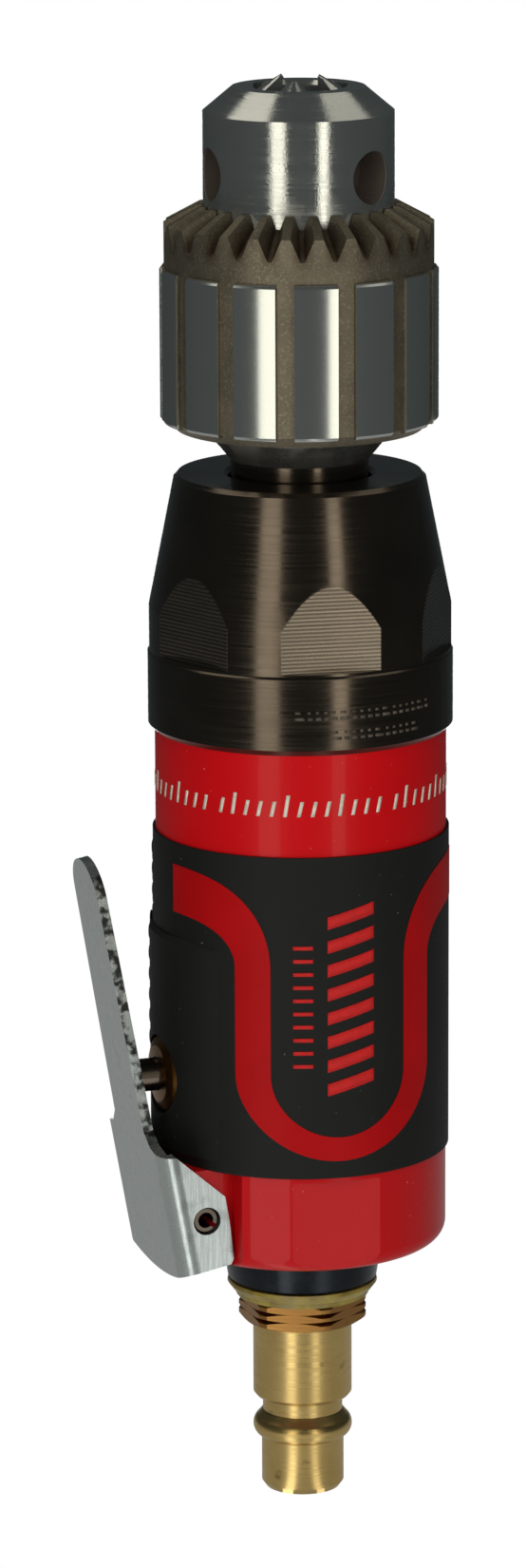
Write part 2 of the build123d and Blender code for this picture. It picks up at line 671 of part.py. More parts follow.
with BuildPart() as rear_plate:
    tube(rotor_journal_r + turning_gap, motor_bore_r, rear_plate_z, cylinder_z)
    tube(0, motor_bearing_r, rear_plate_z - overshoot, rear_plate_z + motor_bearing_height,
         mode=Mode.SUBTRACT)
    rod(supply_plane, supply_r, 2 * motor_bore_r, mode=Mode.SUBTRACT)
    for port_plane in port_planes:
        rod(port_plane, exhaust_port_r, rear_plate_height, mode=Mode.SUBTRACT)
    rod(dowel_plane, dowel_r, dowel_length, mode=Mode.SUBTRACT)
save(rear_plate.part, "rear_plate")

with BuildPart() as motor_cylinder:
    tube(0, motor_bore_r, cylinder_z, front_plate_z)
    with Locations((cylinder_offset * lever_c, cylinder_offset * lever_s, cylinder_z)):
        Cylinder(cylinder_bore_r, 3 * cylinder_height, mode=Mode.SUBTRACT)
    for port_plane in port_planes:
        rod(port_plane, exhaust_port_r, rear_plate_height + cylinder_height - 4, mode=Mode.SUBTRACT)
    for rise in cylinder_port_rises:
        rod(facing_plane(lever_azimuth + 180, 0, cylinder_z + rise), exhaust_port_r * 0.9,
            exhaust_port_distance, mode=Mode.SUBTRACT)
    rod(dowel_plane, dowel_r, dowel_length, mode=Mode.SUBTRACT)
save(motor_cylinder.part, "motor_cylinder")

with BuildPart() as front_plate:
    tube(rotor_journal_r + turning_gap, motor_bore_r, front_plate_z, ring_gear_z)
    tube(0, motor_bearing_r, ring_gear_z - motor_bearing_height - 0.4, ring_gear_z + overshoot,
         mode=Mode.SUBTRACT)
    rod(dowel_plane, dowel_r, dowel_length, mode=Mode.SUBTRACT)
save(front_plate.part, "front_plate")

with BuildPart() as cylinder_dowel:
    rod(dowel_plane, dowel_r, dowel_length)
save(cylinder_dowel.part, "cylinder_dowel")

rotor_low = cylinder_z + face_gap / 2
rotor_high = front_plate_z - face_gap / 2
with BuildPart() as rotor:
    tube(0, rotor_r, rotor_low, rotor_high)
    tube(0, rotor_journal_r, rear_plate_z + face_gap, ring_gear_z + ring_gear_height - face_gap)
    with BuildSketch(Plane.XY.offset(rotor_low)) as slots:
        with PolarLocations(0, vane_count):
            with Locations((vane_root_r - 0.1, 0)):
                Rectangle(rotor_r, vane_thickness + 2 * running_gap, align=(Align.MIN, Align.CENTER))
    extrude(slots.sketch, amount=rotor_high - rotor_low, mode=Mode.SUBTRACT)
save(rotor.part, "rotor")

with BuildPart() as rotor_vanes:
    with BuildSketch(Plane.XY.offset(rotor_low + face_gap / 2)):
        with PolarLocations(0, vane_count):
            with Locations((vane_root_r, 0)):
                Rectangle(rotor_r - vane_root_r - 0.1, vane_thickness, align=(Align.MIN, Align.CENTER))
    extrude(amount=rotor_high - rotor_low - face_gap)
save(rotor_vanes.part, "rotor_vanes")


def save_bearing(name, inner, outer, low, height, ball_count):
    """A ball bearing as its two rings and its set of balls."""
    pitch_r = (inner + outer) / 2
    ball_r = 0.3 * (outer - inner)
    shoulder = 0.42 * ball_r
    with BuildPart() as outer_ring:
        tube(pitch_r + shoulder, outer, low, low + height)
        with BuildSketch(Plane.XZ) as race:
            with Locations((pitch_r, low + height / 2)):
                Circle(ball_r + running_gap)
        revolve(race.sketch, axis=Axis.Z, mode=Mode.SUBTRACT)
    save(outer_ring.part, f"{name}_outer_ring")
    with BuildPart() as inner_ring:
        tube(inner, pitch_r - shoulder, low, low + height)
        with BuildSketch(Plane.XZ) as race:
            with Locations((pitch_r, low + height / 2)):
                Circle(ball_r + running_gap)
        revolve(race.sketch, axis=Axis.Z, mode=Mode.SUBTRACT)
    save(inner_ring.part, f"{name}_inner_ring")
    with BuildPart() as balls:
        ball_ring(pitch_r, ball_r, low + height / 2, ball_count)
    save(balls.part, f"{name}_balls")


save_bearing("rear_motor_bearing", rotor_journal_r, motor_bearing_r, rear_plate_z,
             motor_bearing_height, motor_ball_count)
save_bearing("front_motor_bearing", rotor_journal_r, motor_bearing_r,
             ring_gear_z - motor_bearing_height - 0.4, motor_bearing_height, motor_ball_count)

# ================= planetary gear =================


def flank_angle(radius, base_r):
    """Angle of an involute's point from its start on the base circle, in degrees."""
    spread = acos(min(1, base_r / radius))
    return degrees(tan(spread) - spread)


def gear_outline(teeth, low_r, high_r, pitch_half_thickness, first_azimuth):
    """Draw a gear's outline, a tooth centred on first_azimuth, its flanks between two radii."""
    pitch_r = gear_module * teeth / 2
    base_r = pitch_r * cos(radians(pressure_angle))
    half_at_pitch = degrees(pitch_half_thickness / pitch_r)

    def at(radius, angle):
        return radius * cos(radians(angle)), radius * sin(radians(angle))

    def half_at(radius):
        return half_at_pitch + flank_angle(pitch_r, base_r) - flank_angle(max(radius, base_r), base_r)

    for tooth in range(teeth):
        centre = first_azimuth + tooth * 360 / teeth
        following = centre + 360 / teeth
        middle_r = (low_r + high_r) / 2
        root, middle, tip = half_at(low_r), half_at(middle_r), half_at(high_r)
        ThreePointArc(at(low_r, centre - root), at(middle_r, centre - middle), at(high_r, centre - tip))
        ThreePointArc(at(high_r, centre - tip), at(high_r, centre), at(high_r, centre + tip))
        ThreePointArc(at(high_r, centre + tip), at(middle_r, centre + middle), at(low_r, centre + root))
        ThreePointArc(at(low_r, centre + root), at(low_r, (centre + following) / 2),
                      at(low_r, following - root))


circular_half = gear_module * pi / 4
addendum = 0.85 * gear_module
dedendum = 1.2 * gear_module
sun_r = gear_module * sun_teeth / 2
planet_r = gear_module * planet_teeth / 2
ring_r = gear_module * ring_teeth / 2
gear_z = ring_gear_z + 2 * face_gap
gear_height = ring_gear_height - 3 * face_gap

with BuildPart() as sun_pinion:
    with BuildSketch(Plane.XY.offset(gear_z)):
        with BuildLine():
            gear_outline(sun_teeth, sun_r - dedendum, sun_r + addendum,
                         circular_half - tooth_backlash / 2, first_planet_azimuth)
        make_face()
        Circle(rotor_journal_r, mode=Mode.SUBTRACT)
    extrude(amount=gear_height)
save(sun_pinion.part, "sun_pinion")

planet_azimuths = [first_planet_azimuth + k * 360 / planet_count for k in range(planet_count)]
for number, azimuth in enumerate(planet_azimuths, start=1):
    planet_c, planet_s = direction(azimuth)
    with BuildPart() as planet_gear:
        with BuildSketch(Plane(origin=(planet_distance * planet_c, planet_distance * planet_s, gear_z))):
            with BuildLine():
                gear_outline(planet_teeth, planet_r - dedendum, planet_r + addendum,
                             circular_half - tooth_backlash / 2, azimuth)
            make_face()
            Circle(planet_pin_r + running_gap, mode=Mode.SUBTRACT)
        extrude(amount=gear_height)
    save(planet_gear.part, f"planet_gear_{number}")

with BuildPart() as ring_gear:
    with BuildSketch(Plane.XY.offset(ring_gear_z)):
        Circle(motor_bore_r)
        with BuildLine():
            gear_outline(ring_teeth, ring_r - addendum, ring_r + dedendum,
                         circular_half + tooth_backlash / 2, first_planet_azimuth)
        make_face(mode=Mode.SUBTRACT)
    extrude(amount=ring_gear_height)
save(ring_gear.part, "ring_gear")

with BuildPart() as planet_pins:
    with BuildSketch(Plane.XY.offset(gear_z)):
        with PolarLocations(planet_distance, planet_count, start_angle=first_planet_azimuth):
            Circle(planet_pin_r)
    extrude(amount=carrier_z + carrier_height - gear_z)
save(planet_pins.part, "planet_pins")

# ================= spindle =================

with BuildPart() as spindle:
    turn((0, carrier_z), (carrier_r - 0.4, carrier_z), (carrier_r, carrier_z + 0.4),
         (carrier_r, carrier_z + carrier_height - 0.4), (carrier_r - 0.4, carrier_z + carrier_height),
         (spindle_r, carrier_z + carrier_height), (spindle_r, spindle_collar_z),
         (spindle_collar_r, spindle_collar_z), (spindle_collar_r, chuck_z), (spindle_thread_r, chuck_z),
         (spindle_thread_r, chuck_z + spindle_thread_height - 0.6),
         (spindle_thread_r - 0.6, chuck_z + spindle_thread_height), (0, chuck_z + spindle_thread_height))
    with BuildSketch(Plane.XY.offset(carrier_z)) as pin_holes:
        with PolarLocations(planet_distance, planet_count, start_angle=first_planet_azimuth):
            Circle(planet_pin_r)
    extrude(pin_holes.sketch, amount=carrier_height, mode=Mode.SUBTRACT)
    tube(0, screw_r, chuck_z + spindle_thread_height - screw_depth,
         chuck_z + spindle_thread_height + overshoot, mode=Mode.SUBTRACT)
save(spindle.part, "spindle")

save_bearing("rear_spindle_bearing", spindle_r, spindle_bearing_r, bearing_seat_z,
             spindle_bearing_height, spindle_ball_count)
save_bearing("front_spindle_bearing", spindle_r, spindle_bearing_r, front_bearing_z,
             spindle_bearing_height, spindle_ball_count)

with BuildPart() as carrier_spacer:
    tube(spindle_r, spindle_r + 1.6, carrier_z + carrier_height, bearing_seat_z)
save(carrier_spacer.part, "carrier_spacer")

with BuildPart() as inner_spacer:
    tube(spindle_r, spindle_r + 1.6, bearing_seat_z + spindle_bearing_height, front_bearing_z)
save(inner_spacer.part, "inner_spacer")

with BuildPart() as outer_spacer:
    tube(spindle_bearing_r - 1.4, spindle_bearing_r, bearing_seat_z + spindle_bearing_height,
         front_bearing_z)
save(outer_spacer.part, "outer_spacer")

# ================= clamp nut =================

with BuildPart() as clamp_nut:
    ring_top = nut_z + nut_ring_height
    mouth_r = spindle_collar_r + 0.35
    turn((spigot_r, nut_z), (nut_ring_r - 0.7, nut_z), (nut_ring_r, nut_z + 0.7),
         (nut_ring_r, ring_top - 0.25), (nut_ring_r - 0.25, ring_top), (nut_r, ring_top + 0.05),
         (nut_r, nut_cone_z), (nut_top_r, nut_top_z - 0.5), (nut_top_r - 0.5, nut_top_z),
         (mouth_r + 0.5, nut_top_z), (mouth_r, nut_top_z - 0.5), (mouth_r, spindle_collar_z),
         (spindle_bearing_r, spindle_collar_z), (spindle_bearing_r, bearing_seat_z),
         (carrier_r + 0.5, bearing_seat_z - 0.3), (carrier_r + 0.5, housing_top_z),
         (spigot_r, housing_top_z))
    for k in range(6):
        block(facing_plane(nut_flat_azimuth + 60 * k, nut_flat_distance, nut_flat_z), nut_r,
              nut_top_z - nut_flat_z, nut_r, mode=Mode.SUBTRACT, align=(Align.CENTER, Align.MIN))
save(clamp_nut.part, "clamp_nut")

# ================= chuck =================

jaw_outer_offset = jaw_r / jaw_rise


def jaw_axis_r(height):
    return jaw_tip_axis_r + (jaw_tip_z - height) * tan(radians(jaw_tilt))


split_nut_top_z = split_nut_z + split_nut_height
flange_top_z = split_nut_z - thrust_washer_height
with BuildPart() as chuck_body:
    flange_low_z = flange_top_z - 10.4
    groove_low_r = jaw_axis_r(flange_top_z) + jaw_outer_offset - 0.8
    groove_high_r = jaw_axis_r(split_nut_top_z + 0.1) + jaw_outer_offset - 0.8
    flange_r = sleeve_inner_r - turning_gap
    turn((0, chuck_z), (chuck_tail_r, chuck_z), (chuck_tail_top_r, sleeve_z - 0.7),
         (chuck_tail_top_r, flange_low_z), (flange_r, flange_low_z + 2), (flange_r, flange_top_z),
         (groove_low_r, flange_top_z), (groove_high_r, split_nut_top_z + 0.1),
         (chuck_nose_r, split_nut_top_z + 0.1), (chuck_nose_r, chuck_bevel_z),
         (chuck_face_r, chuck_face_z), (0, chuck_face_z))
    turn((0, chuck_mouth_floor_z), (chuck_mouth_r, chuck_mouth_floor_z),
         (chuck_mouth_r, chuck_face_z - 0.5), (chuck_mouth_r + 0.6, chuck_face_z + 0.1),
         (0, chuck_face_z + 0.1), mode=Mode.SUBTRACT)
    tube(0, spindle_thread_r, chuck_z - overshoot, chuck_z + spindle_thread_height + 0.3,
         mode=Mode.SUBTRACT)
    tube(0, screw_r, chuck_z, chuck_mouth_floor_z + overshoot, mode=Mode.SUBTRACT)
    for azimuth in jaw_azimuths:
        bore_low_z = jaw_tip_z - (jaw_length + jaw_back_travel + 1.0) * jaw_rise
        rod(jaw_plane(azimuth, bore_low_z), jaw_r + running_gap, 2 * jaw_length + jaw_back_travel,
            mode=Mode.SUBTRACT)
    for azimuth in key_hole_azimuths:
        rod(facing_plane(azimuth, key_hole_floor_r, key_hole_z), key_hole_r, chuck_nose_r,
            mode=Mode.SUBTRACT)
save(chuck_body.part, "chuck_body")

with BuildPart() as chuck_screw:
    tube(0, screw_r, chuck_z + spindle_thread_height - screw_depth + 1, chuck_mouth_floor_z)
    tube(0, screw_head_r, chuck_mouth_floor_z, chuck_mouth_floor_z + screw_head_height)
    block(Plane.XY.offset(chuck_mouth_floor_z + screw_head_height - 1), 3 * screw_head_r, 0.9, 2,
          mode=Mode.SUBTRACT)
save(chuck_screw.part, "chuck_screw")

for number, azimuth in enumerate(jaw_azimuths, start=1):
    with BuildPart() as jaw:
        jaw_low_z = jaw_tip_z - jaw_length * jaw_rise
        with BuildSketch(jaw_plane(azimuth, jaw_low_z)) as jaw_section:
            Circle(jaw_r)
        point_height = jaw_r * tan(radians(jaw_point_angle))
        extrude(jaw_section.sketch, amount=jaw_length - point_height)
        with Locations(jaw_plane(azimuth, jaw_tip_z - point_height * jaw_rise)):
            Cone(jaw_r, 0, point_height, align=(Align.CENTER, Align.CENTER, Align.MIN))
        tip_c, tip_s = direction(azimuth)
        with BuildSketch(Plane(origin=(0, 0, jaw_low_z - 10), x_dir=(tip_c, tip_s, 0))) as vee:
            with BuildLine():
                Polyline((jaw_grip_r, 0), (30, 30 * tan(radians(60))), (30, -30 * tan(radians(60))),
                         close=True)
            make_face()
        extrude(vee.sketch, amount=3 * jaw_length, mode=Mode.INTERSECT)
    save(jaw.part, f"chuck_jaw_{number}")

with BuildPart() as split_nut:
    nut_clear = turning_gap - 0.05
    low_r = jaw_axis_r(split_nut_z) + jaw_outer_offset + nut_clear
    high_r = jaw_axis_r(split_nut_top_z) + jaw_outer_offset + nut_clear
    turn((low_r, split_nut_z + 0.05), (sleeve_inner_r, split_nut_z + 0.05),
         (sleeve_inner_r, split_nut_top_z - 0.05), (high_r, split_nut_top_z - 0.05))
    block(Plane.XY.offset(split_nut_z - overshoot), 60, 0.3, split_nut_height + 2,
          mode=Mode.SUBTRACT)
save(split_nut.part, "chuck_split_nut")

with BuildPart() as thrust_washer:
    tube(jaw_axis_r(flange_top_z) + jaw_outer_offset + nut_clear, sleeve_inner_r - turning_gap,
         flange_top_z, split_nut_z - 0.05)
save(thrust_washer.part, "chuck_thrust_washer")

notch_out = sleeve_r + 0.8
notch_in = chuck_nose_r - 0.2
notch_slope = (sleeve_tooth_inner_z - sleeve_tooth_z) / (sleeve_r - sleeve_tooth_inner_r)
with BuildPart() as notch_cutter:
    pitch_angle = 360 / sleeve_tooth_count
    for at_r in (notch_out, notch_in):
        half_width = at_r * radians(pitch_angle) * sleeve_notch_share
        top_z = sleeve_tooth_z + (sleeve_r - at_r) * notch_slope + 0.3
        depth = sleeve_notch_depth * at_r / sleeve_r + 0.3
        with BuildSketch(facing_plane(sleeve_notch_azimuth, at_r, top_z)):
            with BuildLine():
                Polyline((-half_width, 0.4), (-half_width, 0), (-0.25, -depth), (0.25, -depth),
                         (half_width, 0), (half_width, 0.4), close=True)
            make_face()
    loft()

with BuildPart() as land:
    profile_plane = radial_plane(sleeve_land_azimuth - sleeve_land_angle / 2)
    inner = sleeve_r - 0.4
    turn((inner, sleeve_land_z), (sleeve_land_r - 0.35, sleeve_land_z),
         (sleeve_land_r, sleeve_land_z + 0.45), (sleeve_land_r, sleeve_land_top_z - 0.45),
         (sleeve_land_r - 0.35, sleeve_land_top_z), (inner, sleeve_land_top_z),
         plane=profile_plane, arc=sleeve_land_angle)

with BuildPart() as chuck_sleeve:
    bottom_inner_r = chuck_tail_top_r + 0.6
    nose_clear_r = chuck_nose_r + turning_gap
    turn((bottom_inner_r, sleeve_z), (sleeve_bottom_r, sleeve_z), (sleeve_r, sleeve_z + 1.3),
         (sleeve_r, sleeve_tooth_z), (sleeve_tooth_inner_r, sleeve_tooth_inner_z),
         (nose_clear_r, sleeve_tooth_inner_z), (nose_clear_r, split_nut_top_z + 0.3),
         (sleeve_inner_r, split_nut_top_z - 0.05), (sleeve_inner_r, sleeve_z + 2.5),
         (bottom_inner_r, sleeve_z + 1.2))
    with PolarLocations(0, sleeve_land_count):
        add(land.part)
    with PolarLocations(0, sleeve_tooth_count):
        add(notch_cutter.part, mode=Mode.SUBTRACT)
save(chuck_sleeve.part, "chuck_sleeve")
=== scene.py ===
"""Looks of a straight air drill: keyed chuck, black nut, red body, rubber grip, lever and brass plug.

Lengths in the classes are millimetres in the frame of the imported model: +Z runs along the tool
towards the chuck, and azimuths are degrees about +Z, 270 being the front.
"""

import json
import logging
import math
from dataclasses import dataclass, field
from enum import Enum

import bmesh
import bpy
from mathutils import Matrix, Vector

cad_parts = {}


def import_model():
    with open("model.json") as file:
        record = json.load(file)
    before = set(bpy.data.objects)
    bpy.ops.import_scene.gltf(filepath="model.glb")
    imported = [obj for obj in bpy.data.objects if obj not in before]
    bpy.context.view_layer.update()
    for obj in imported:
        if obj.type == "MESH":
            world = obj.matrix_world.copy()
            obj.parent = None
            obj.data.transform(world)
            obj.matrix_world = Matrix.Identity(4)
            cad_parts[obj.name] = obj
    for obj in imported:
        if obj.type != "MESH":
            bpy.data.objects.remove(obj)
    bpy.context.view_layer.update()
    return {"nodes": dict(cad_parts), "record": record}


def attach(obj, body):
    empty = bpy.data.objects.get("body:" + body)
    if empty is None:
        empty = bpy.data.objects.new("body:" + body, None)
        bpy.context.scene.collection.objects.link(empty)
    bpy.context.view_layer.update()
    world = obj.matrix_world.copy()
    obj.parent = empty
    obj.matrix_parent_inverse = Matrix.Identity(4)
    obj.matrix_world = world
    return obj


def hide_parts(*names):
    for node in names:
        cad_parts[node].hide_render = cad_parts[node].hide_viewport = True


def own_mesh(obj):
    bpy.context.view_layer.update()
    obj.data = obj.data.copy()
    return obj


LOG = logging.getLogger("air_drill")
MM = 0.001
Socket = bpy.types.NodeSocket
Tree = bpy.types.NodeTree
Feed = bpy.types.NodeSocket | float | tuple
Scale = tuple[float, float, float]
Span = tuple[float, float]
WHITE = "ffffff"
WARM_WHITE = "fff8ea"


class Body(Enum):
    """The bodies that pieces made here ride on."""

    CASING = "body"


def linear(hex_shade: str) -> tuple[float, float, float, float]:
    """Turn an sRGB hex colour into linear RGBA.

    Args:
        hex_shade: six hex digits, such as "b01c20".
    Returns:
        Linear red, green, blue and an alpha of 1.
    """
    channels = [int(hex_shade[i:i + 2], 16) / 255 for i in (0, 2, 4)]
    bent = [c / 12.92 if c <= 0.04045 else ((c + 0.055) / 1.055) ** 2.4 for c in channels]
    return (*bent, 1.0)


def node(tree: Tree, kind: str, *inputs: Feed, out: str = "", named: dict[str, Feed] | None = None,
         **settings: object) -> Socket | None:
    """Add one shader node with its settings and links.

    Args:
        tree: the node tree that gets the node.
        kind: Blender's type name for it, without the leading "ShaderNode".
        inputs: values or output sockets for the inputs that its settings leave on, in order.
        out: name of the output to give back, or the first one that is on.
        named: values or output sockets for other inputs, by name.
        settings: attributes to set on the node before its inputs.
    Returns:
        The output's socket, or None for a node that has none.
    """
    made = tree.nodes.new("ShaderNode" + kind)
    for name, value in settings.items():
        setattr(made, name, value)
    shown = [socket for socket in made.inputs if socket.enabled]
    by_name = [(made.inputs[name], value) for name, value in (named or {}).items()]
    feeds = [*zip(shown, inputs), *by_name]
    for socket, value in feeds:
        if isinstance(value, Socket):
            tree.links.new(value, socket)
        else:
            socket.default_value = value
    outputs = [socket for socket in made.outputs if socket.enabled and out in ("", socket.name)]
    return outputs[0] if outputs else None


@dataclass(frozen=True)
class Place:
    """Coordinates of a shaded point, as sockets in millimetres and degrees."""

    point: Socket
    z: Socket
    radius: Socket
    turn: Socket


def place(tree: Tree) -> Place:
    """Give a tree the shaded point's place in the frame.

    Args:
        tree: the material's tree.
    Returns:
        The point, its height, its distance from the tool's axis, and its azimuth in degrees.
    """
    metres = node(tree, "TexCoord", out="Object")
    point = node(tree, "VectorMath", metres, named={"Scale": 1 / MM}, operation="SCALE")
    x, y, z = (node(tree, "SeparateXYZ", point, out=axis) for axis in "XYZ")
    radius = node(tree, "VectorMath", node(tree, "CombineXYZ", x, y), operation="LENGTH")
    turn = node(tree, "Math", node(tree, "Math", y, x, operation="ARCTAN2"), operation="DEGREES")
    return Place(point, z, radius, turn)


@dataclass(frozen=True)
class Finish:
    """A material: what a surface is made of and how it was made."""

    name: str = "finish"

    def sockets(self, tree: Tree, at: Place) -> dict[str, Feed]:
        """Inputs of the main shader, by name: values set on it, or sockets linked to it."""
        return {}

    def material(self) -> bpy.types.Material:
        """Build the Blender material.

        Returns:
            The material, made once for each name.
        """
        title = f"{self.name}_finish"
        if title in bpy.data.materials:
            return bpy.data.materials[title]
        made = bpy.data.materials.new(title)
        made.use_nodes = True
        tree = made.node_tree
        tree.nodes.clear()
        node(tree, "OutputMaterial", node(tree, "BsdfPrincipled", named=self.sockets(tree, place(tree))))
        return made


@dataclass(frozen=True)
class GroundSteel(Finish):
    """Hardened tool steel, turned and ground: dark cool grey between streaks of reflected light."""

    name: str = "ground_tool_steel"
    colour: str = "b9bcb8"
    dull: str = "8f9490"
    pit: str = "3a3832"
    pit_size: float = 0.22
    cloud_size: float = 5.0
    turning: Scale = (0.06, 0.06, 6.0)
    depth: float = 0.008
    brown_reflection_and_grease: str = "4a2c10"
    grease_and_reflection_z: Span = (157.2, 160.4)
    hole_shade: str = "3b2a1e"
    hole_z: float = 161.6
    hole_reach: float = 3.4
    hole_radii: Span = (10.95, 11.2)

    def sockets(self, tree: Tree, at: Place) -> dict[str, Feed]:
        """Fine turning lines round the axis, small pits, grease and a painted brown reflection near the tooth
        ring, and painted shade in the key holes.
        """
        drawn = node(tree, "VectorMath", at.point, self.turning, operation="MULTIPLY")
        lines = node(tree, "TexNoise", drawn, 1.0, 4.0)
        grit = node(tree, "TexNoise", at.point, 1 / self.pit_size, 2.0)
        clouds = node(tree, "TexNoise", at.point, 1 / self.cloud_size, 3.0)
        shade = node(tree, "MapRange", clouds, 0.0, 1.0, 0.0, 0.45)
        pits = node(tree, "MapRange", grit, 0.66, 0.74, 0.0, 0.35)
        # Painted reflection: near the tooth ring the steel is tinted brown where it would reflect the ring.
        # The same mask raises roughness for grease.
        low = node(tree, "MapRange", at.z, *self.grease_and_reflection_z, 1.0, 0.0)
        grease_and_reflection_patches = node(tree, "MapRange", clouds, 0.42, 0.62, 0.0, 0.5)
        grease_and_reflection = node(tree, "Math", low, grease_and_reflection_patches, operation="MULTIPLY")
        # Painted shade: the walls inside the key holes are darkened to brown-black and made less metallic.
        by_holes = node(tree, "Math", at.z, self.hole_z, self.hole_reach, operation="COMPARE")
        deep = node(tree, "MapRange", at.radius, *self.hole_radii, 0.9, 0.0)
        inside = node(tree, "Math", deep, by_holes, operation="MULTIPLY")
        colour = node(tree, "Mix", shade, linear(self.colour), linear(self.dull), data_type="RGBA")
        colour = node(tree, "Mix", pits, colour, linear(self.pit), data_type="RGBA")
        colour = node(tree, "Mix", grease_and_reflection, colour, linear(self.brown_reflection_and_grease), data_type="RGBA")
        colour = node(tree, "Mix", inside, colour, linear(self.hole_shade), data_type="RGBA")
        sheen = node(tree, "MapRange", lines, 0.3, 0.7, 0.07, 0.21)
        rough = node(tree, "Math", sheen, grease_and_reflection, operation="ADD")
        ridges = node(tree, "MapRange", lines, 0.0, 1.0, 0.0, 1.4)
        height = node(tree, "Math", grit, ridges, operation="ADD")
        bump = node(tree, "Bump", named={"Height": height, "Distance": self.depth * MM})
        metal = node(tree, "MapRange", inside, 0.0, 0.9, 0.92, 0.3)
        return {"Base Color": colour, "Metallic": metal, "Roughness": rough, "Normal": bump}


@dataclass(frozen=True)
class PhosphatedSteel(Finish):
    """Forged sleeve, phosphated olive grey and grainy, with ground bright lands and tooth roots dark with
    grease, rust and painted shade.
    """

    name: str = "phosphated_steel"
    skin: str = "8a826f"
    skin_dark: str = "645d4f"
    crystals: str = "aca491"
    bright: str = "b4b8b4"
    rust_and_shade: str = "41260f"
    land_radius: float = 16.12
    land_top_z: float = 150.6
    land_edge: float = 0.12
    grain_size: float = 0.3
    cloud_size: float = 3.2
    turning: Scale = (0.1, 0.1, 5.0)
    depth: float = 0.05
    root_z: Span = (152.0, 153.6)
    notches: int = 26
    notch_azimuth: float = 271.2

    def sockets(self, tree: Tree, at: Place) -> dict[str, Feed]:
        """Fine grain on the skin, turning lines on the lands, and rust-brown grease with painted shade in the
        roots.
        """
        on_top = node(tree, "Math", at.z, self.land_top_z, operation="LESS_THAN")
        proud = node(tree, "MapRange", at.radius, self.land_radius, self.land_radius + self.land_edge)
        land = node(tree, "Math", proud, on_top, operation="MULTIPLY")
        grit = node(tree, "TexNoise", at.point, 1 / self.grain_size, 3.0)
        clouds = node(tree, "TexNoise", at.point, 1 / self.cloud_size, 3.0)
        crystals = node(tree, "MapRange", grit, 0.52, 0.72, 0.0, 0.5)
        skin = node(tree, "Mix", clouds, linear(self.skin_dark), linear(self.skin), data_type="RGBA")
        skin = node(tree, "Mix", crystals, skin, linear(self.crystals), data_type="RGBA")
        # Painted shade: the tooth roots are darkened rust-brown. This is partly real rust and grease and
        # partly the shade in the gaps between the teeth.
        phase = node(tree, "MapRange", at.turn, self.notch_azimuth - 720, self.notch_azimuth, 0.5,
                     self.notches * 2 + 0.5, clamp=False)
        off = node(tree, "Math", node(tree, "Math", phase, operation="FRACT"), 0.5, operation="SUBTRACT")
        root_rust_and_shade = node(tree, "MapRange", node(tree, "Math", off, operation="ABSOLUTE"), 0.12, 0.36, 0.7, 0.0)
        above = node(tree, "MapRange", at.z, *self.root_z)
        root_rust_and_shade = node(tree, "Math", root_rust_and_shade, above, operation="MULTIPLY")
        uneven = node(tree, "MapRange", clouds, 0.30, 0.60, 0.4, 1.0)
        root_rust_and_shade = node(tree, "Math", root_rust_and_shade, uneven, operation="MULTIPLY")
        skin = node(tree, "Mix", root_rust_and_shade, skin, linear(self.rust_and_shade), data_type="RGBA")
        colour = node(tree, "Mix", land, skin, linear(self.bright), data_type="RGBA")
        drawn = node(tree, "VectorMath", at.point, self.turning, operation="MULTIPLY")
        lines = node(tree, "TexNoise", drawn, 1.0, 4.0)
        rough = node(tree, "Mix", land, 0.52, node(tree, "MapRange", lines, 0.3, 0.7, 0.15, 0.17))
        ridges = node(tree, "MapRange", land, 0.0, 1.0, 1.0, 0.01)
        height = node(tree, "Math", grit, ridges, operation="MULTIPLY")
        bump = node(tree, "Bump", named={"Height": height, "Distance": self.depth * MM})
        return {"Base Color": colour, "Metallic": 0.92, "Roughness": rough, "Normal": bump}


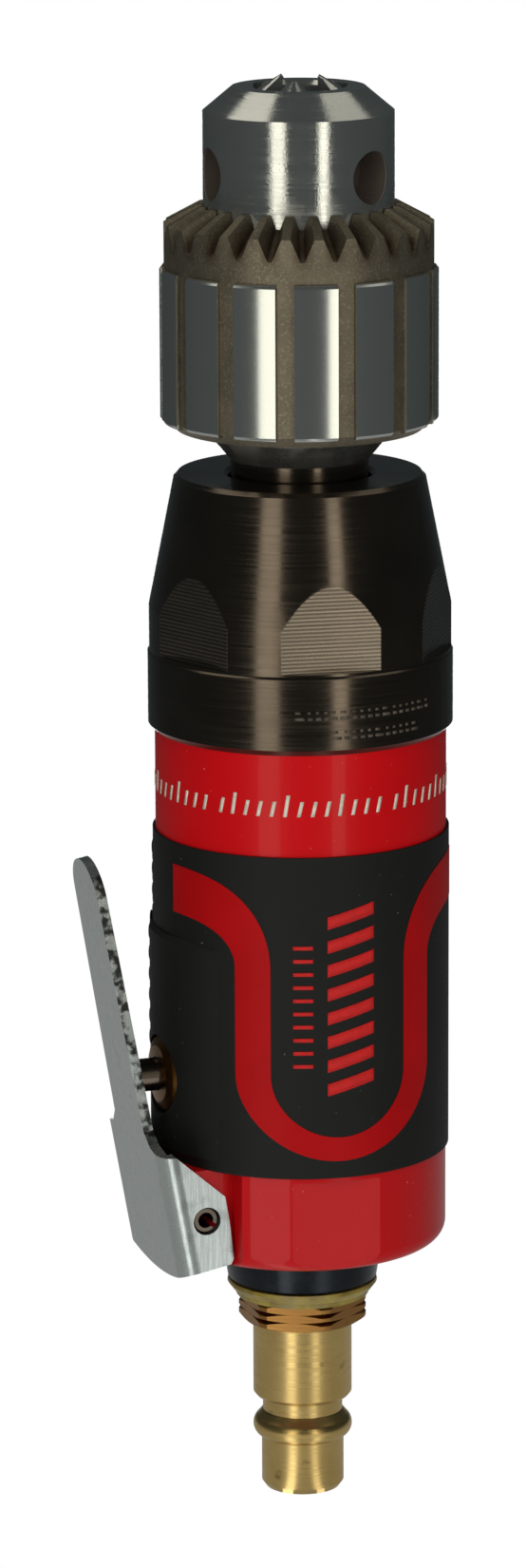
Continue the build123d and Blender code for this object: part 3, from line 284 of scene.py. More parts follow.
@dataclass(frozen=True)
class BlackOxide(Finish):
    """Turned steel, hot blackened: nearly black with a warm brown sheen in the light."""

    name: str = "black_oxide_steel"
    colour: str = "61584d"
    deep: str = "473f37"
    milled_sheen: str = "877e70"
    mill_pitch: float = 0.45
    cloud_size: float = 6.0
    turning: Scale = (0.08, 0.08, 6.0)
    depth: float = 0.015
    flats: int = 6
    flat_azimuth: float = 282.0
    flat_distance: float = 17.0
    flat_margin: float = 0.04
    flat_low_z: float = 105.02

    def sockets(self, tree: Tree, at: Place) -> dict[str, Feed]:
        """Turning lines all round, and straight milling lines on the six flats, their lighter bands a painted
        sheen.
        """
        sector = node(tree, "MapRange", at.turn, self.flat_azimuth - 720, self.flat_azimuth, 0.5,
                      self.flats * 2 + 0.5, clamp=False)
        off = node(tree, "Math", node(tree, "Math", sector, operation="FRACT"), 0.5, operation="SUBTRACT")
        angle = node(tree, "Math", off, math.radians(360 / self.flats), operation="MULTIPLY")
        across = node(tree, "Math", angle, operation="COSINE")
        depth = node(tree, "Math", at.radius, across, operation="MULTIPLY")
        flat = node(tree, "Math", depth, self.flat_distance, self.flat_margin, operation="COMPARE")
        above = node(tree, "Math", at.z, self.flat_low_z, operation="GREATER_THAN")
        flat = node(tree, "Math", flat, above, operation="MULTIPLY")
        mill = node(tree, "TexWave", at.point, math.pi / 10 / self.mill_pitch, 0.4, 3.0, 0.6,
                    bands_direction="Z")
        drawn = node(tree, "VectorMath", at.point, self.turning, operation="MULTIPLY")
        lines = node(tree, "TexNoise", drawn, 1.0, 4.0)
        clouds = node(tree, "TexNoise", at.point, 1 / self.cloud_size, 3.0)
        colour = node(tree, "Mix", clouds, linear(self.deep), linear(self.colour), data_type="RGBA")
        # Painted sheen: the milling bands on the flats are coloured a lighter brown grey.
        bright = node(tree, "MapRange", mill, 0.0, 1.0, 0.05, 0.8)
        flat_sheen = node(tree, "Math", flat, bright, operation="MULTIPLY")
        colour = node(tree, "Mix", flat_sheen, colour, linear(self.milled_sheen), data_type="RGBA")
        rough = node(tree, "Math", node(tree, "MapRange", lines, 0.3, 0.7, 0.13, 0.25),
                     node(tree, "MapRange", flat, 0.0, 1.0, 0.0, 0.05), operation="ADD")
        height = node(tree, "Mix", flat, node(tree, "MapRange", lines, 0.0, 1.0, 0.0, 0.2), mill)
        bump = node(tree, "Bump", named={"Height": height, "Distance": self.depth * MM})
        return {"Base Color": colour, "Metallic": 0.97, "Roughness": rough, "Normal": bump}


@dataclass(frozen=True)
class BluedSteel(Finish):
    """Inlet bushing, turned and blued: near black with a cold cast and oily patches."""

    name: str = "blued_steel"
    colour: str = "2c3136"
    deep: str = "1b1e21"
    turning: Scale = (0.1, 0.1, 5.0)
    stain_size: float = 2.5
    depth: float = 0.008

    def sockets(self, tree: Tree, at: Place) -> dict[str, Feed]:
        """Turning lines 0.2 mm apart, and oil stains a few millimetres across."""
        drawn = node(tree, "VectorMath", at.point, self.turning, operation="MULTIPLY")
        lines = node(tree, "TexNoise", drawn, 1.0, 3.0)
        oil = node(tree, "TexNoise", at.point, 1 / self.stain_size, 3.0)
        colour = node(tree, "Mix", oil, linear(self.deep), linear(self.colour), data_type="RGBA")
        rough = node(tree, "Math", node(tree, "MapRange", lines, 0.3, 0.7, 0.18, 0.30),
                     node(tree, "MapRange", oil, 0.4, 0.6, 0.0, 0.08), operation="ADD")
        bump = node(tree, "Bump", named={"Height": lines, "Distance": self.depth * MM})
        return {"Base Color": colour, "Metallic": 0.9, "Roughness": rough, "Normal": bump}


@dataclass(frozen=True)
class RedEnamel(Finish):
    """Baked enamel on a turned aluminium body: even red with a soft sheen and faint orange peel."""

    name: str = "red_enamel"
    colour: str = "b40a10"
    drifted: str = "aa080e"
    low_red: str = "a2080d"
    dust: str = "d98a86"
    drift_size: float = 14.0
    peel_size: float = 1.1
    speck_size: float = 0.35
    tail_z: Span = (44.0, 45.5)
    depth: float = 0.006

    def sockets(self, tree: Tree, at: Place) -> dict[str, Feed]:
        """Slow colour drift, orange peel about 1 mm across, dust specks, and a darker tail below the grip."""
        drift = node(tree, "TexNoise", at.point, 1 / self.drift_size, 2.0)
        peel = node(tree, "TexNoise", at.point, 1 / self.peel_size, 2.0)
        motes = node(tree, "TexNoise", at.point, 1 / self.speck_size, 1.0)
        specks = node(tree, "MapRange", motes, 0.78, 0.81, 0.0, 0.5)
        # Darker red towards the bottom, below the grip.
        tail = node(tree, "MapRange", at.z, *self.tail_z, 1.0, 0.0)
        colour = node(tree, "Mix", drift, linear(self.drifted), linear(self.colour), data_type="RGBA")
        colour = node(tree, "Mix", tail, colour, linear(self.low_red), data_type="RGBA")
        colour = node(tree, "Mix", specks, colour, linear(self.dust), data_type="RGBA")
        rough = node(tree, "MapRange", drift, 0.0, 1.0, 0.28, 0.36)
        bump = node(tree, "Bump", named={"Height": peel, "Distance": self.depth * MM})
        return {"Base Color": colour, "Roughness": rough, "IOR": 1.5, "Specular IOR Level": 0.12,
                "Coat Weight": 0.1, "Coat Roughness": 0.06, "Normal": bump}


@dataclass(frozen=True)
class MouldedRubber(Finish):
    """Moulded nitrile rubber: dead black, with the fine spark-eroded texture of its mould."""

    name: str = "moulded_rubber"
    colour: str = "0c0e0c"
    rubbed: str = "131412"
    dust: str = "8b8a84"
    grain_size: float = 0.25
    rub_size: float = 9.0
    speck_size: float = 0.45
    depth: float = 0.02

    def sockets(self, tree: Tree, at: Place) -> dict[str, Feed]:
        """Mould grain of 0.25 mm, faint rubbed patches, and a few pale dust specks."""
        grain = node(tree, "TexNoise", at.point, 1 / self.grain_size, 2.0)
        rub = node(tree, "TexNoise", at.point, 1 / self.rub_size, 3.0)
        motes = node(tree, "TexNoise", at.point, 1 / self.speck_size, 1.0)
        specks = node(tree, "MapRange", motes, 0.80, 0.82, 0.0, 0.5)
        colour = node(tree, "Mix", rub, linear(self.colour), linear(self.rubbed), data_type="RGBA")
        colour = node(tree, "Mix", specks, colour, linear(self.dust), data_type="RGBA")
        rough = node(tree, "MapRange", rub, 0.0, 1.0, 0.55, 0.69)
        bump = node(tree, "Bump", named={"Height": grain, "Distance": self.depth * MM})
        return {"Base Color": colour, "Roughness": rough, "IOR": 1.5, "Specular IOR Level": 0.22,
                "Normal": bump}


@dataclass(frozen=True)
class RedPlastic(Finish):
    """Red thermoplastic moulded into the rubber: deeper and more satin than the enamel."""

    name: str = "red_inlay_plastic"
    colour: str = "a0090d"
    drifted: str = "8a070a"
    drift_size: float = 7.0
    grain_size: float = 0.3
    depth: float = 0.012

    def sockets(self, tree: Tree, at: Place) -> dict[str, Feed]:
        """Mould grain and a slow drift of tone."""
        drift = node(tree, "TexNoise", at.point, 1 / self.drift_size, 2.0)
        grain = node(tree, "TexNoise", at.point, 1 / self.grain_size, 2.0)
        colour = node(tree, "Mix", drift, linear(self.drifted), linear(self.colour), data_type="RGBA")
        rough = node(tree, "MapRange", drift, 0.0, 1.0, 0.40, 0.52)
        bump = node(tree, "Bump", named={"Height": grain, "Distance": self.depth * MM})
        return {"Base Color": colour, "Roughness": rough, "IOR": 1.49, "Specular IOR Level": 0.08,
                "Normal": bump}


@dataclass(frozen=True)
class SatinChrome(Finish):
    """Pressed sheet steel with satin chrome plating: cool even grey, its sheared edge dark and rough."""

    name: str = "satin_chrome"
    colour: str = "b2b9b6"
    streak: str = "9fa8a4"
    stain: str = "6c6f6a"
    sheared: str = "1d1b19"
    lever_azimuth: float = 200.0
    edge_from_z: float = 47.0
    side_facing: float = 0.75
    drawing: Scale = (4.5, 4.5, 0.2)
    blot_size: float = 2.3
    tear_size: float = 1.1
    depth: float = 0.05

    def sockets(self, tree: Tree, at: Place) -> dict[str, Feed]:
        """Fine vertical drawing lines, small spots, and broken dark patches on the sheared edge."""
        turn = math.radians(self.lever_azimuth)
        facing = node(tree, "VectorMath", node(tree, "TexCoord", out="Normal"),
                      (-math.sin(turn), math.cos(turn), 0), operation="DOT_PRODUCT")
        slope = node(tree, "Math", facing, operation="ABSOLUTE")
        sideways = node(tree, "Math", slope, self.side_facing, operation="GREATER_THAN")
        above = node(tree, "Math", at.z, self.edge_from_z, operation="GREATER_THAN")
        edge = node(tree, "Math", sideways, above, operation="MULTIPLY")
        ear = node(tree, "Math", sideways, edge, operation="SUBTRACT")
        along = node(tree, "VectorMath", at.point, self.drawing, operation="MULTIPLY")
        drawn = node(tree, "TexNoise", along, 1.0, 3.0)
        blots = node(tree, "TexNoise", at.point, 1 / self.blot_size, 3.0)
        spots = node(tree, "MapRange", blots, 0.66, 0.76, 0.0, 0.4)
        smudges = node(tree, "MapRange", blots, 0.50, 0.64, 0.18, 0.45)
        stains = node(tree, "Math", ear, smudges, operation="MULTIPLY")
        torn = node(tree, "TexNoise", at.point, 1 / self.tear_size, 4.0)
        torn_here = node(tree, "Math", edge, node(tree, "MapRange", torn, 0.44, 0.58, 0.35, 0.95),
                         operation="MULTIPLY")
        colour = node(tree, "Mix", node(tree, "MapRange", drawn, 0.3, 0.7, 0.0, 0.4), linear(self.colour),
                      linear(self.streak), data_type="RGBA")
        marks = node(tree, "Math", spots, stains, operation="MAXIMUM")
        colour = node(tree, "Mix", marks, colour, linear(self.stain), data_type="RGBA")
        colour = node(tree, "Mix", torn_here, colour, linear(self.sheared), data_type="RGBA")
        rough = node(tree, "Math", node(tree, "MapRange", drawn, 0.3, 0.7, 0.22, 0.32),
                     node(tree, "MapRange", torn_here, 0.0, 1.0, 0.0, 0.22), operation="ADD")
        height = node(tree, "Mix", edge, node(tree, "MapRange", drawn, 0.0, 1.0, 0.0, 0.03), torn)
        bump = node(tree, "Bump", named={"Height": height, "Distance": self.depth * MM})
        return {"Base Color": colour, "Metallic": 0.95, "Roughness": rough, "Normal": bump}


@dataclass(frozen=True)
class TurnedBrass(Finish):
    """Free-cutting brass, turned and lightly handled: fine rings, a mellow sheen and small tarnish spots."""

    name: str = "turned_brass"
    colour: str = "d0b679"
    dull: str = "b59858"
    hex_shade: str = "976d3a"
    tarnish: str = "5f4520"
    hex_z: Span = (21.3, 21.5)
    turning: Scale = (0.07, 0.07, 5.0)
    cloud_size: float = 4.0
    spot_size: float = 2.6
    depth: float = 0.012

    def sockets(self, tree: Tree, at: Place) -> dict[str, Feed]:
        """Turning rings 0.2 mm apart, a darker orange painted shade on the hexagon, and tarnish in spots and
        grooves.
        """
        turned = node(tree, "VectorMath", at.point, self.turning, operation="MULTIPLY")
        rings = node(tree, "TexNoise", turned, 1.0, 4.0)
        clouds = node(tree, "TexNoise", at.point, 1 / self.cloud_size, 4.0)
        blots = node(tree, "TexNoise", at.point, 1 / self.spot_size, 2.0)
        spots = node(tree, "MapRange", blots, 0.66, 0.74, 0.0, 0.55)
        on_hex = node(tree, "MapRange", at.z, *self.hex_z)
        colour = node(tree, "Mix", clouds, linear(self.colour), linear(self.dull), data_type="RGBA")
        # Painted shade: the hexagon and what stands above it are coloured darker and more orange than the
        # turned brass.
        colour = node(tree, "Mix", on_hex, colour, linear(self.hex_shade), data_type="RGBA")
        colour = node(tree, "Mix", spots, colour, linear(self.tarnish), data_type="RGBA")
        rough = node(tree, "MapRange", rings, 0.3, 0.7, 0.24, 0.40)
        bump = node(tree, "Bump", named={"Height": rings, "Distance": self.depth * MM})
        return {"Base Color": colour, "Metallic": 1.0, "Roughness": rough, "Normal": bump}


@dataclass(frozen=True)
class TurnedBronze(Finish):
    """Sintered bronze bush, turned: brown with a golden rim where it catches the light."""

    name: str = "turned_bronze"
    colour: str = "9a6d35"
    oiled: str = "6a4520"
    grain_size: float = 0.25
    stain_size: float = 2.0
    depth: float = 0.012

    def sockets(self, tree: Tree, at: Place) -> dict[str, Feed]:
        """Porous grain and patches of darker oil stain."""
        grain = node(tree, "TexNoise", at.point, 1 / self.grain_size, 2.0)
        stain = node(tree, "TexNoise", at.point, 1 / self.stain_size, 3.0)
        colour = node(tree, "Mix", stain, linear(self.oiled), linear(self.colour), data_type="RGBA")
        rough = node(tree, "MapRange", stain, 0.0, 1.0, 0.24, 0.39)
        bump = node(tree, "Bump", named={"Height": grain, "Distance": self.depth * MM})
        return {"Base Color": colour, "Metallic": 1.0, "Roughness": rough, "Normal": bump}


@dataclass(frozen=True)
class SealPlastic(Finish):
    """Translucent polyamide washer, golden olive with age."""

    name: str = "translucent_polyamide"
    colour: str = "96863a"
    soaked: str = "6c5d24"
    tone_size: float = 3.0
    grain_size: float = 0.8
    depth: float = 0.03

    def sockets(self, tree: Tree, at: Place) -> dict[str, Feed]:
        """Uneven tone round the washer, as where thread sealant has soaked in."""
        tone = node(tree, "TexNoise", at.point, 1 / self.tone_size, 3.0)
        grain = node(tree, "TexNoise", at.point, 1 / self.grain_size, 3.0)
        dry = node(tree, "MapRange", tone, 0.35, 0.65)
        colour = node(tree, "Mix", dry, linear(self.soaked), linear(self.colour), data_type="RGBA")
        rough = node(tree, "MapRange", tone, 0.0, 1.0, 0.28, 0.48)
        bump = node(tree, "Bump", named={"Height": grain, "Distance": self.depth * MM})
        return {"Base Color": colour, "Roughness": rough, "IOR": 1.53, "Transmission Weight": 0.2,
                "Normal": bump}


@dataclass(frozen=True)
class PrintedInk(Finish):
    """Pad-printed ink: opaque and slightly uneven."""

    name: str = "printed_ink"
    colour: str = "d9d6cc"
    flat_sheen: str = "b7b2a6"
    patch_size: float = 0.9

    def sockets(self, tree: Tree, at: Place) -> dict[str, Feed]:
        """Thin patches in the ink about 1 mm across."""
        patches = node(tree, "TexNoise", at.point, 1 / self.patch_size, 3.0)
        full = node(tree, "MapRange", patches, 0.4, 0.62)
        colour = node(tree, "Mix", full, linear(self.flat_sheen), linear(self.colour), data_type="RGBA")
        rough = node(tree, "MapRange", patches, 0.0, 1.0, 0.42, 0.62)
        return {"Base Color": colour, "Roughness": rough, "IOR": 1.5, "Specular IOR Level": 0.2}


@dataclass(frozen=True)
class InnerPart(Finish):
    """Machined part inside the casing: plain turned metal, felt or composite with its own grain."""

    name: str = "inner_part"
    colour: str = "9a9a98"
    metallic: float = 1.0
    roughness: float = 0.3
    grain_size: float = 0.4
    tone_size: float = 5.0
    shade: float = 0.7
    depth: float = 0.01

    def sockets(self, tree: Tree, at: Place) -> dict[str, Feed]:
        """Fine grain in tone and height."""
        grain = node(tree, "TexNoise", at.point, 1 / self.grain_size, 3.0)
        tone = node(tree, "TexNoise", at.point, 1 / self.tone_size, 3.0)
        base = linear(self.colour)
        darker = (*[self.shade * c for c in base[:3]], 1.0)
        colour = node(tree, "Mix", tone, darker, base, data_type="RGBA")
        rough = node(tree, "MapRange", tone, 0.0, 1.0, self.roughness, self.roughness + 0.15)
        bump = node(tree, "Bump", named={"Height": grain, "Distance": self.depth * MM})
        return {"Base Color": colour, "Metallic": self.metallic, "Roughness": rough, "Normal": bump}


GREY_INK = PrintedInk("grey_print", "564e45", "3d372f")
WHITE_INK = PrintedInk("white_print", "c9c2b4", "b3ab9c")
RED_INK = PrintedInk("red_print", "b01b19", "a61918")
SPRING_STEEL = InnerPart("bright_spring_steel", "a8a8a8", 1.0, 0.25)


def dress(nodes: dict, finishes: dict[str, Finish]) -> None:
    """Give CAD nodes their materials.

    Args:
        nodes: the frame's nodes by name.
        finishes: the finish of each node, by node name.
    """
    for name, finish in finishes.items():
        mesh = nodes[name].data
        mesh.materials.clear()
        mesh.materials.append(finish.material())
        LOG.info("dressed %s in %s", name, finish.name)


@dataclass
class Piece:
    """A mesh piece made here and tied to the frame."""

    name: str
    finish: Finish
    slot: str
    body: Body

    def build(self, mesh: bmesh.types.BMesh) -> bpy.types.Object:
        """Turn a mesh in millimetres into a dressed piece that rides on its body.

        Args:
            mesh: the piece's mesh, freed here.
        Returns:
            The new object.
        """
        mesh.transform(Matrix.Scale(MM, 4))
        bmesh.ops.recalc_face_normals(mesh, faces=mesh.faces)
        data = bpy.data.meshes.new(self.name)
        mesh.to_mesh(data)
        mesh.free()
        for face in data.polygons:
            face.use_smooth = True
        data.materials.append(self.finish.material())
        made = bpy.data.objects.new(self.name, data)
        bpy.context.scene.collection.objects.link(made)
        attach(made, self.body.value)
        LOG.info("built %s with %d faces", self.name, len(data.polygons))
        return made


@dataclass
class WrappedArt:
    """Raised art on a cylinder, drawn flat in millimetres of arc and height, then wrapped."""

    radius: float
    azimuth: float
    thickness: float = 0.05
    step: float = 0.35
    mesh: bmesh.types.BMesh = field(default_factory=bmesh.new)

    def at(self, across: float, z: float, lift: float) -> Vector:
        """The place of a flat point: across runs to the right as seen from outside."""
        turn = math.radians(self.azimuth) + across / self.radius
        r = self.radius + lift
        return Vector((r * math.cos(turn), r * math.sin(turn), z))

    def quad(self, corners: list[tuple[float, float]]) -> None:
        """Add a thin raised plate over four flat corners, cut into strips that follow the curve.

        Args:
            corners: (across, z) points in order round the plate; the long way is from 0 to 1.
        """
        a, b, c, d = (Vector(p) for p in corners)
        steps = max(1, math.ceil((b - a).length / self.step))
        rows = [(a.lerp(b, k / steps), d.lerp(c, k / steps)) for k in range(steps + 1)]
        rings = []
        for low, high in rows:
            rings.append([self.mesh.verts.new(self.at(p.x, p.y, lift)) for p, lift in
                          ((low, 0), (high, 0), (high, self.thickness), (low, self.thickness))])
        for first, second in zip(rings, rings[1:]):
            for k in range(4):
                after = (k + 1) % 4
                self.mesh.faces.new((first[k], first[after], second[after], second[k]))
        self.mesh.faces.new(rings[0][::-1])
        self.mesh.faces.new(rings[-1])


@dataclass
class GripArt:
    """Generic printed art on the grip: a ladder of slanting bars, and a column of even ticks beside it."""

    radius: float = 17.76
    ladder_azimuth: float = 289.1
    ladder_half_width: float = 2.9
    ladder_low: float = 54.0
    bars: int = 8
    bar_height: float = 1.5
    bar_step: float = 2.9
    slant: float = 1.5
    column_azimuth: float = 270.4
    column_low: float = 57.5
    ticks: int = 10
    tick_half_width: float = 1.2
    tick_height: float = 0.45
    tick_step: float = 1.6

    def build(self) -> None:
        """Build the ladder of bars and the column of ticks."""
        half = self.ladder_half_width
        ladder = WrappedArt(self.radius, self.ladder_azimuth)
        for k in range(self.bars):
            z = self.ladder_low + k * self.bar_step
            ladder.quad([(-half, z), (half, z + self.slant), (half, z + self.slant + self.bar_height),
                         (-half, z + self.bar_height)])
        Piece("grip_ladder_print", RED_INK, "red_inlay", Body.CASING).build(ladder.mesh)
        half = self.tick_half_width
        column = WrappedArt(self.radius, self.column_azimuth)
        for k in range(self.ticks):
            z = self.column_low + k * self.tick_step
            column.quad([(-half, z), (half, z), (half, z + self.tick_height), (-half, z + self.tick_height)])
        Piece("grip_tick_print", RED_INK, "red_inlay", Body.CASING).build(column.mesh)


@dataclass
class BandArt:
    """Rows of generic printed strokes: white round the red band, grey on the nut's ring."""

    band_radius: float = 17.41
    band_z: float = 87.9
    groups: int = 5
    group_phase: float = 0.53
    strokes: int = 13
    stroke_step: float = 1.62
    stroke_height: float = 2.6
    short_share: float = 0.7
    lean: float = 0.42
    stroke_width: float = 0.44
    nut_radius: float = 18.2
    nut_azimuth: float = 296.0
    nut_rows: tuple[Scale, ...] = ((99.6, -9.0, 9.5), (97.2, -4.6, 6.6))
    mark_widths: Span = (0.62, 1.1)
    mark_gap: float = 0.36
    mark_height: float = 0.34
    upper_share: float = 0.6
    upper_z: Span = (0.75, 1.05)
    step: float = 0.6

    def build(self) -> None:
        """Build the white strokes round the band and the two grey rows on the nut."""
        art = WrappedArt(self.band_radius, 270.0, step=self.step)
        around = 2 * math.pi * self.band_radius
        for group in range(self.groups):
            start = (group + self.group_phase) * around / self.groups
            for k in range(self.strokes):
                x = start + k * self.stroke_step
                top = self.band_z + self.stroke_height * (1.0 if k % 4 == 1 else self.short_share)
                art.quad([(x, self.band_z), (x + self.lean, top), (x + self.lean + self.stroke_width, top),
                          (x + self.stroke_width, self.band_z)])
        Piece("band_print", WHITE_INK, "washer_plastic", Body.CASING).build(art.mesh)
        rows = WrappedArt(self.nut_radius, self.nut_azimuth, step=self.step)
        for z, x, high in self.nut_rows:
            index = 0
            while x < high:
                wide = self.mark_widths[index % 5 == 0]
                for low, top, share in ((0, self.mark_height, 1.0), (*self.upper_z, self.upper_share)):
                    end = x + wide * share
                    rows.quad([(x, z + low), (end, z + low), (end, z + top), (x, z + top)])
                x += wide + self.mark_gap
                index += 1
        Piece("nut_rating_print", GREY_INK, "bearing_steel", Body.CASING).build(rows.mesh)


@dataclass
class GripStuds:
    """Low moulded studs on the rubber, in two fields behind the lever and on the far side."""

    rubber_radius: float = 17.75
    pad_radius: float = 15.5
    pad_offset: float = 2.9
    pad_azimuth: float = 200.0
    pad_top: float = 71.4
    sink: float = 0.03
    centres: tuple[float, ...] = (163.0, 27.0)
    columns: int = 8
    column_step: float = 5.2
    low: float = 50.4
    row_step: float = 2.6
    rows: int = 12
    width: float = 0.72
    height: float = 0.95
    rise: float = 0.18
    segments: tuple[int, int] = (12, 8)

    def seat(self, turn: float, z: float) -> float:
        """The rubber's radius at an azimuth and height, where the raised pad stands out of the round grip."""
        if z > self.pad_top:
            return self.rubber_radius
        off = math.radians(turn - self.pad_azimuth)
        across = self.pad_offset * math.sin(off)
        pad = self.pad_offset * math.cos(off) + math.sqrt(self.pad_radius ** 2 - across ** 2)
        return max(self.rubber_radius, pad)

    def build(self) -> None:
        """Build every stud as a shallow dome that sinks into the rubber at its rim."""
        mesh = bmesh.new()
        for centre in self.centres:
            for column in range(self.columns):
                turn = centre + (column - (self.columns - 1) / 2) * self.column_step
                for row in range(self.rows):
                    z = self.low + (row + 0.5 * (column % 2)) * self.row_step
                    self.stud(mesh, turn, z)
        Piece("grip_studs", MouldedRubber(), "grip_rubber", Body.CASING).build(mesh)

    def stud(self, mesh: bmesh.types.BMesh, turn: float, z: float) -> None:
        """Add one dome at an azimuth and height."""
        seat = Matrix.Translation((self.seat(turn, z) - self.sink, 0, z))
        out = Matrix.Rotation(math.radians(turn), 4, "Z") @ seat
        shape = Matrix.Diagonal((self.rise, self.width, self.height, 1))
        bmesh.ops.create_uvsphere(mesh, u_segments=self.segments[0], v_segments=self.segments[1], radius=1.0,
                                  matrix=out @ shape)


@dataclass
class Chuck:
    """The keyed chuck: ground body and jaws inside a phosphated sleeve."""

    def dress(self, nodes: dict) -> None:
        """Give the chuck's CAD nodes their finishes."""
        ground = GroundSteel()
        dress(nodes, {"chuck_body": ground, "chuck_sleeve": PhosphatedSteel(),
                      **{f"chuck_jaw_{k}": ground for k in (1, 2, 3)}})


@dataclass
class Casing:
    """Nut, red housing, rubber grip with its red inlay, and the inlet end."""

    def dress(self, nodes: dict) -> None:
        """Give the casing's CAD nodes their finishes."""
        oxide = BlackOxide()
        dress(nodes, {"clamp_nut": oxide, "inlet_bushing": BluedSteel(), "spindle": oxide,
                      "exhaust_ring": oxide, "housing": RedEnamel(), "grip_sleeve": MouldedRubber(),
                      "grip_inlay": RedPlastic(), "sealing_washer": SealPlastic(),
                      "air_plug": TurnedBrass()})

    def build(self) -> None:
        """Build the prints and the moulded studs."""
        GripArt().build()
        BandArt().build()
        GripStuds().build()


@dataclass
class Throttle:
    """The pressed lever, its roll pin, and the valve's bush and plunger."""

    def dress(self, nodes: dict) -> None:
        """Give the throttle's CAD nodes their finishes."""
        oxide = BlackOxide()
        dress(nodes, {"throttle_lever": SatinChrome(), "lever_pin": oxide, "valve_plunger": oxide,
                      "valve_bush": TurnedBronze(), "valve_poppet": TurnedBronze()})


@dataclass
class ValveSpring:
    """The valve's coil spring, built as a piece of its own in place of the rigid node."""

    azimuth: float = 200.0
    travel: float = 2.8
    finish: Finish = SPRING_STEEL

    def build(self, nodes: dict) -> None:
        """Build a spring in the place of the rigid one.

        Args:
            nodes: the frame's nodes by name.
        """
        mesh = bmesh.new()
        mesh.from_mesh(nodes["valve_spring"].data)
        mesh.transform(Matrix.Scale(1 / MM, 4))
        coil = Piece("valve_spring_coil", self.finish, "spring_steel", Body.CASING).build(mesh)
        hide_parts("valve_spring")
        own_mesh(coil)


@dataclass
class InnerWorks:
    """Everything inside the casing, dressed by the record's own material slots."""

    finishes: dict[str, Finish] = field(default_factory=lambda: {
        "felt": InnerPart("muffler_felt", "8d877a", 0.0, 0.9),
        "cast_iron": InnerPart("ground_cast_iron", "77787a", 0.9, 0.4),
        "vane_composite": InnerPart("laminated_composite", "5a3b22", 0.0, 0.6),
        "gear_steel": InnerPart("cut_gear_steel", "9a9a9c", 1.0, 0.3),
        "bearing_steel": InnerPart("polished_bearing_steel", "b8b9bb", 1.0, 0.12),
        "spring_steel": SPRING_STEEL,
        "seal_rubber": InnerPart("seal_rubber", "1d1e1d", 0.0, 0.6),
        "chuck_steel": InnerPart("turned_chuck_steel", "8a8a88", 1.0, 0.35),
    })

    def dress(self, nodes: dict, record: dict) -> None:
        """Dress the nodes that no other class has dressed.

        Args:
            nodes: the frame's nodes by name.
            record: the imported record, which names each node's slot.
        """
        for entry in record["subparts"]:
            name = entry["node"]
            materials = nodes[name].data.materials
            if not materials or not materials[0].name.endswith("_finish"):
                dress(nodes, {name: self.finishes[entry["material_slot"]]})


@dataclass(frozen=True)
class Softbox:
    """A rectangular light that faces the tool.

    Args:
        name: the light's name.
        azimuth: degrees to the right of the camera.
        elevation: degrees above the tool's middle.
        distance: millimetres from the tool.
        size: width and height in millimetres.
        power: watts.
        colour: sRGB hex colour.
        reflected: whether it shows in reflections.
    """

    name: str
    azimuth: float
    elevation: float
    distance: float
    size: Span
    power: float
    colour: str = WARM_WHITE
    reflected: bool = True


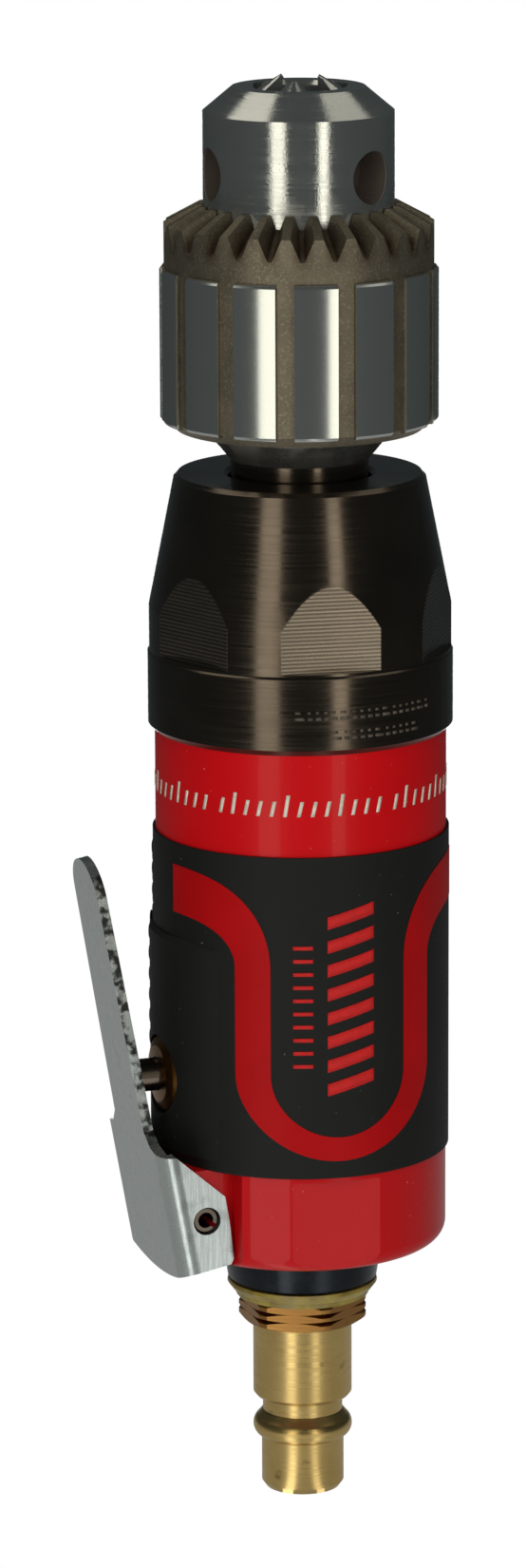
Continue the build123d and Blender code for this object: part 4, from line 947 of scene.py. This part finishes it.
@dataclass
class Studio:
    """White set, the softboxes round it, and the camera."""

    target_z: float = 87.86
    distance: float = 787.0
    elevation: float = 13.1
    side_step: float = -4.5
    lens: float = 151.2
    roll: float = -0.26
    sensor_width: float = 36.0
    clip_start: float = 0.01
    softboxes: tuple[Softbox, ...] = (
        Softbox("left_softbox", -25.0, 0.0, 1000.0, (300.0, 1500.0), 3.3),
        Softbox("right_softbox", 29.5, 0.0, 1000.0, (190.0, 1500.0), 2.3),
        Softbox("top_left_softbox", -110.0, 60.0, 1100.0, (700.0, 500.0), 1.3),
        Softbox("top_right_softbox", 110.0, 60.0, 1100.0, (700.0, 500.0), 0.8),
        Softbox("back_softbox", 180.0, -21.0, 1000.0, (260.0, 660.0), 1.6, WHITE),
        Softbox("front_fill", 0.0, 25.0, 1300.0, (1400.0, 1400.0), 13.0, WHITE, reflected=False),
        Softbox("back_fill", 180.0, 30.0, 1300.0, (1400.0, 1400.0), 12.0, WHITE, reflected=False),
    )
    table_radius: float = 290.0
    table_glow: float = 0.4
    sectors: tuple[tuple[str, float, float, float], ...] = (
        ("left_table_glow", -25.0, 18.0, 2.4),
        ("right_table_glow", 29.5, 14.0, 1.8),
    )
    rim_steps: int = 48
    floor_z: float = -0.2
    floor_half: float = 15.0
    room: str = "3a4042"

    def camera(self) -> None:
        """Stand the camera in front of the tool, a little above it."""
        data = bpy.data.cameras.new("camera")
        data.lens = self.lens
        data.sensor_width = self.sensor_width
        data.clip_start = self.clip_start
        made = bpy.data.objects.new("camera", data)
        bpy.context.scene.collection.objects.link(made)
        up = math.radians(self.elevation)
        made.location = Vector((self.side_step, -self.distance * math.cos(up),
                                self.target_z + self.distance * math.sin(up))) * MM
        tilt = Matrix.Rotation(math.radians(90 - self.elevation), 4, "X")
        made.rotation_euler = (tilt @ Matrix.Rotation(math.radians(self.roll), 4, "Z")).to_euler()
        bpy.context.scene.camera = made

    def light(self, box: Softbox) -> None:
        """Hang one softbox."""
        data = bpy.data.lights.new(box.name, "AREA")
        data.shape = "RECTANGLE"
        data.size, data.size_y = box.size[0] * MM, box.size[1] * MM
        data.energy = box.power
        data.color = linear(box.colour)[:3]
        made = bpy.data.objects.new(box.name, data)
        bpy.context.scene.collection.objects.link(made)
        turn, up = math.radians(box.azimuth), math.radians(box.elevation)
        away = Vector((math.sin(turn) * math.cos(up), -math.cos(turn) * math.cos(up), math.sin(up)))
        made.location = (Vector((0, 0, self.target_z)) + away * box.distance) * MM
        made.rotation_euler = away.to_track_quat("Z", "Y").to_euler()
        made.visible_glossy = box.reflected

    def glow(self, name: str, shape: bpy.types.Mesh, strength: float, camera: bool) -> None:
        """Set out a glowing part of the set, seen either by the camera or in reflections.

        Args:
            name: the name of the object and its material.
            shape: its mesh, in metres.
            strength: how bright it glows.
            camera: whether the camera sees it; if not, it shows only in reflections and as bounced light.
        """
        material = bpy.data.materials.new(name)
        material.use_nodes = True
        tree = material.node_tree
        tree.nodes.clear()
        node(tree, "OutputMaterial", node(tree, "Emission", linear(WHITE), strength))
        shape.materials.append(material)
        made = bpy.data.objects.new(name, shape)
        bpy.context.scene.collection.objects.link(made)
        made.visible_camera = camera
        made.visible_glossy = made.visible_diffuse = made.visible_transmission = not camera
        made.visible_shadow = False

    def sector(self, azimuth: float, spread: float, reach: float, z: float) -> bpy.types.Mesh:
        """Mesh a flat sector of a disc on the table, about the tool's axis.

        Args:
            azimuth: degrees to the right of the camera, at the sector's middle.
            spread: its whole angle in degrees.
            reach: its radius in millimetres.
            z: its height in millimetres.
        Returns:
            The mesh, in metres.
        """
        steps = self.rim_steps
        rim = [math.radians(azimuth + spread * (k / steps - 0.5)) for k in range(steps + 1)]
        points = [Vector((reach * math.sin(a), -reach * math.cos(a), z)) * MM for a in rim]
        shape = bpy.data.meshes.new("sector")
        shape.from_pydata([Vector((0, 0, z)) * MM, *points], [], [(0, k + 1, k + 2) for k in range(steps)])
        return shape

    def floor(self) -> None:
        """Lay the pale floor, and the table top that lights the plug from below in two brighter sectors."""
        table = self.sector(0, 360, self.table_radius, self.floor_z / 2)
        self.glow("table_top", table, self.table_glow, False)
        for name, azimuth, spread, strength in self.sectors:
            shape = self.sector(azimuth, spread, self.table_radius, self.floor_z / 4)
            self.glow(name, shape, strength, False)
        plane = bpy.data.meshes.new("floor")
        half = self.floor_half
        corners = [(-half, -half), (half, -half), (half, half), (-half, half)]
        plane.from_pydata([(x, y, self.floor_z * MM) for x, y in corners], [], [(0, 1, 2, 3)])
        self.glow("floor", plane, 1.0, True)

    def build(self) -> None:
        """Build the floor, the world, the lights and the camera."""
        self.floor()
        world = bpy.data.worlds.new("studio")
        bpy.context.scene.world = world
        world.use_nodes = True
        tree = world.node_tree
        tree.nodes.clear()
        seen = node(tree, "LightPath", out="Is Camera Ray")
        colour = node(tree, "Mix", seen, linear(self.room), linear(WHITE), data_type="RGBA")
        node(tree, "OutputWorld", node(tree, "Background", colour, 1.0))
        for box in self.softboxes:
            self.light(box)
        self.camera()
        bpy.context.scene.view_settings.view_transform = "Standard"


def main() -> None:
    """Load the frame, dress and build every sub-assembly, and set the studio up."""
    logging.basicConfig(level=logging.INFO, format="%(name)s: %(message)s")
    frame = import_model()
    nodes = frame["nodes"]
    Chuck().dress(nodes)
    casing = Casing()
    casing.dress(nodes)
    Throttle().dress(nodes)
    InnerWorks().dress(nodes, frame["record"])
    casing.build()
    ValveSpring().build(nodes)
    Studio().build()


if __name__ == "__main__":
    main()
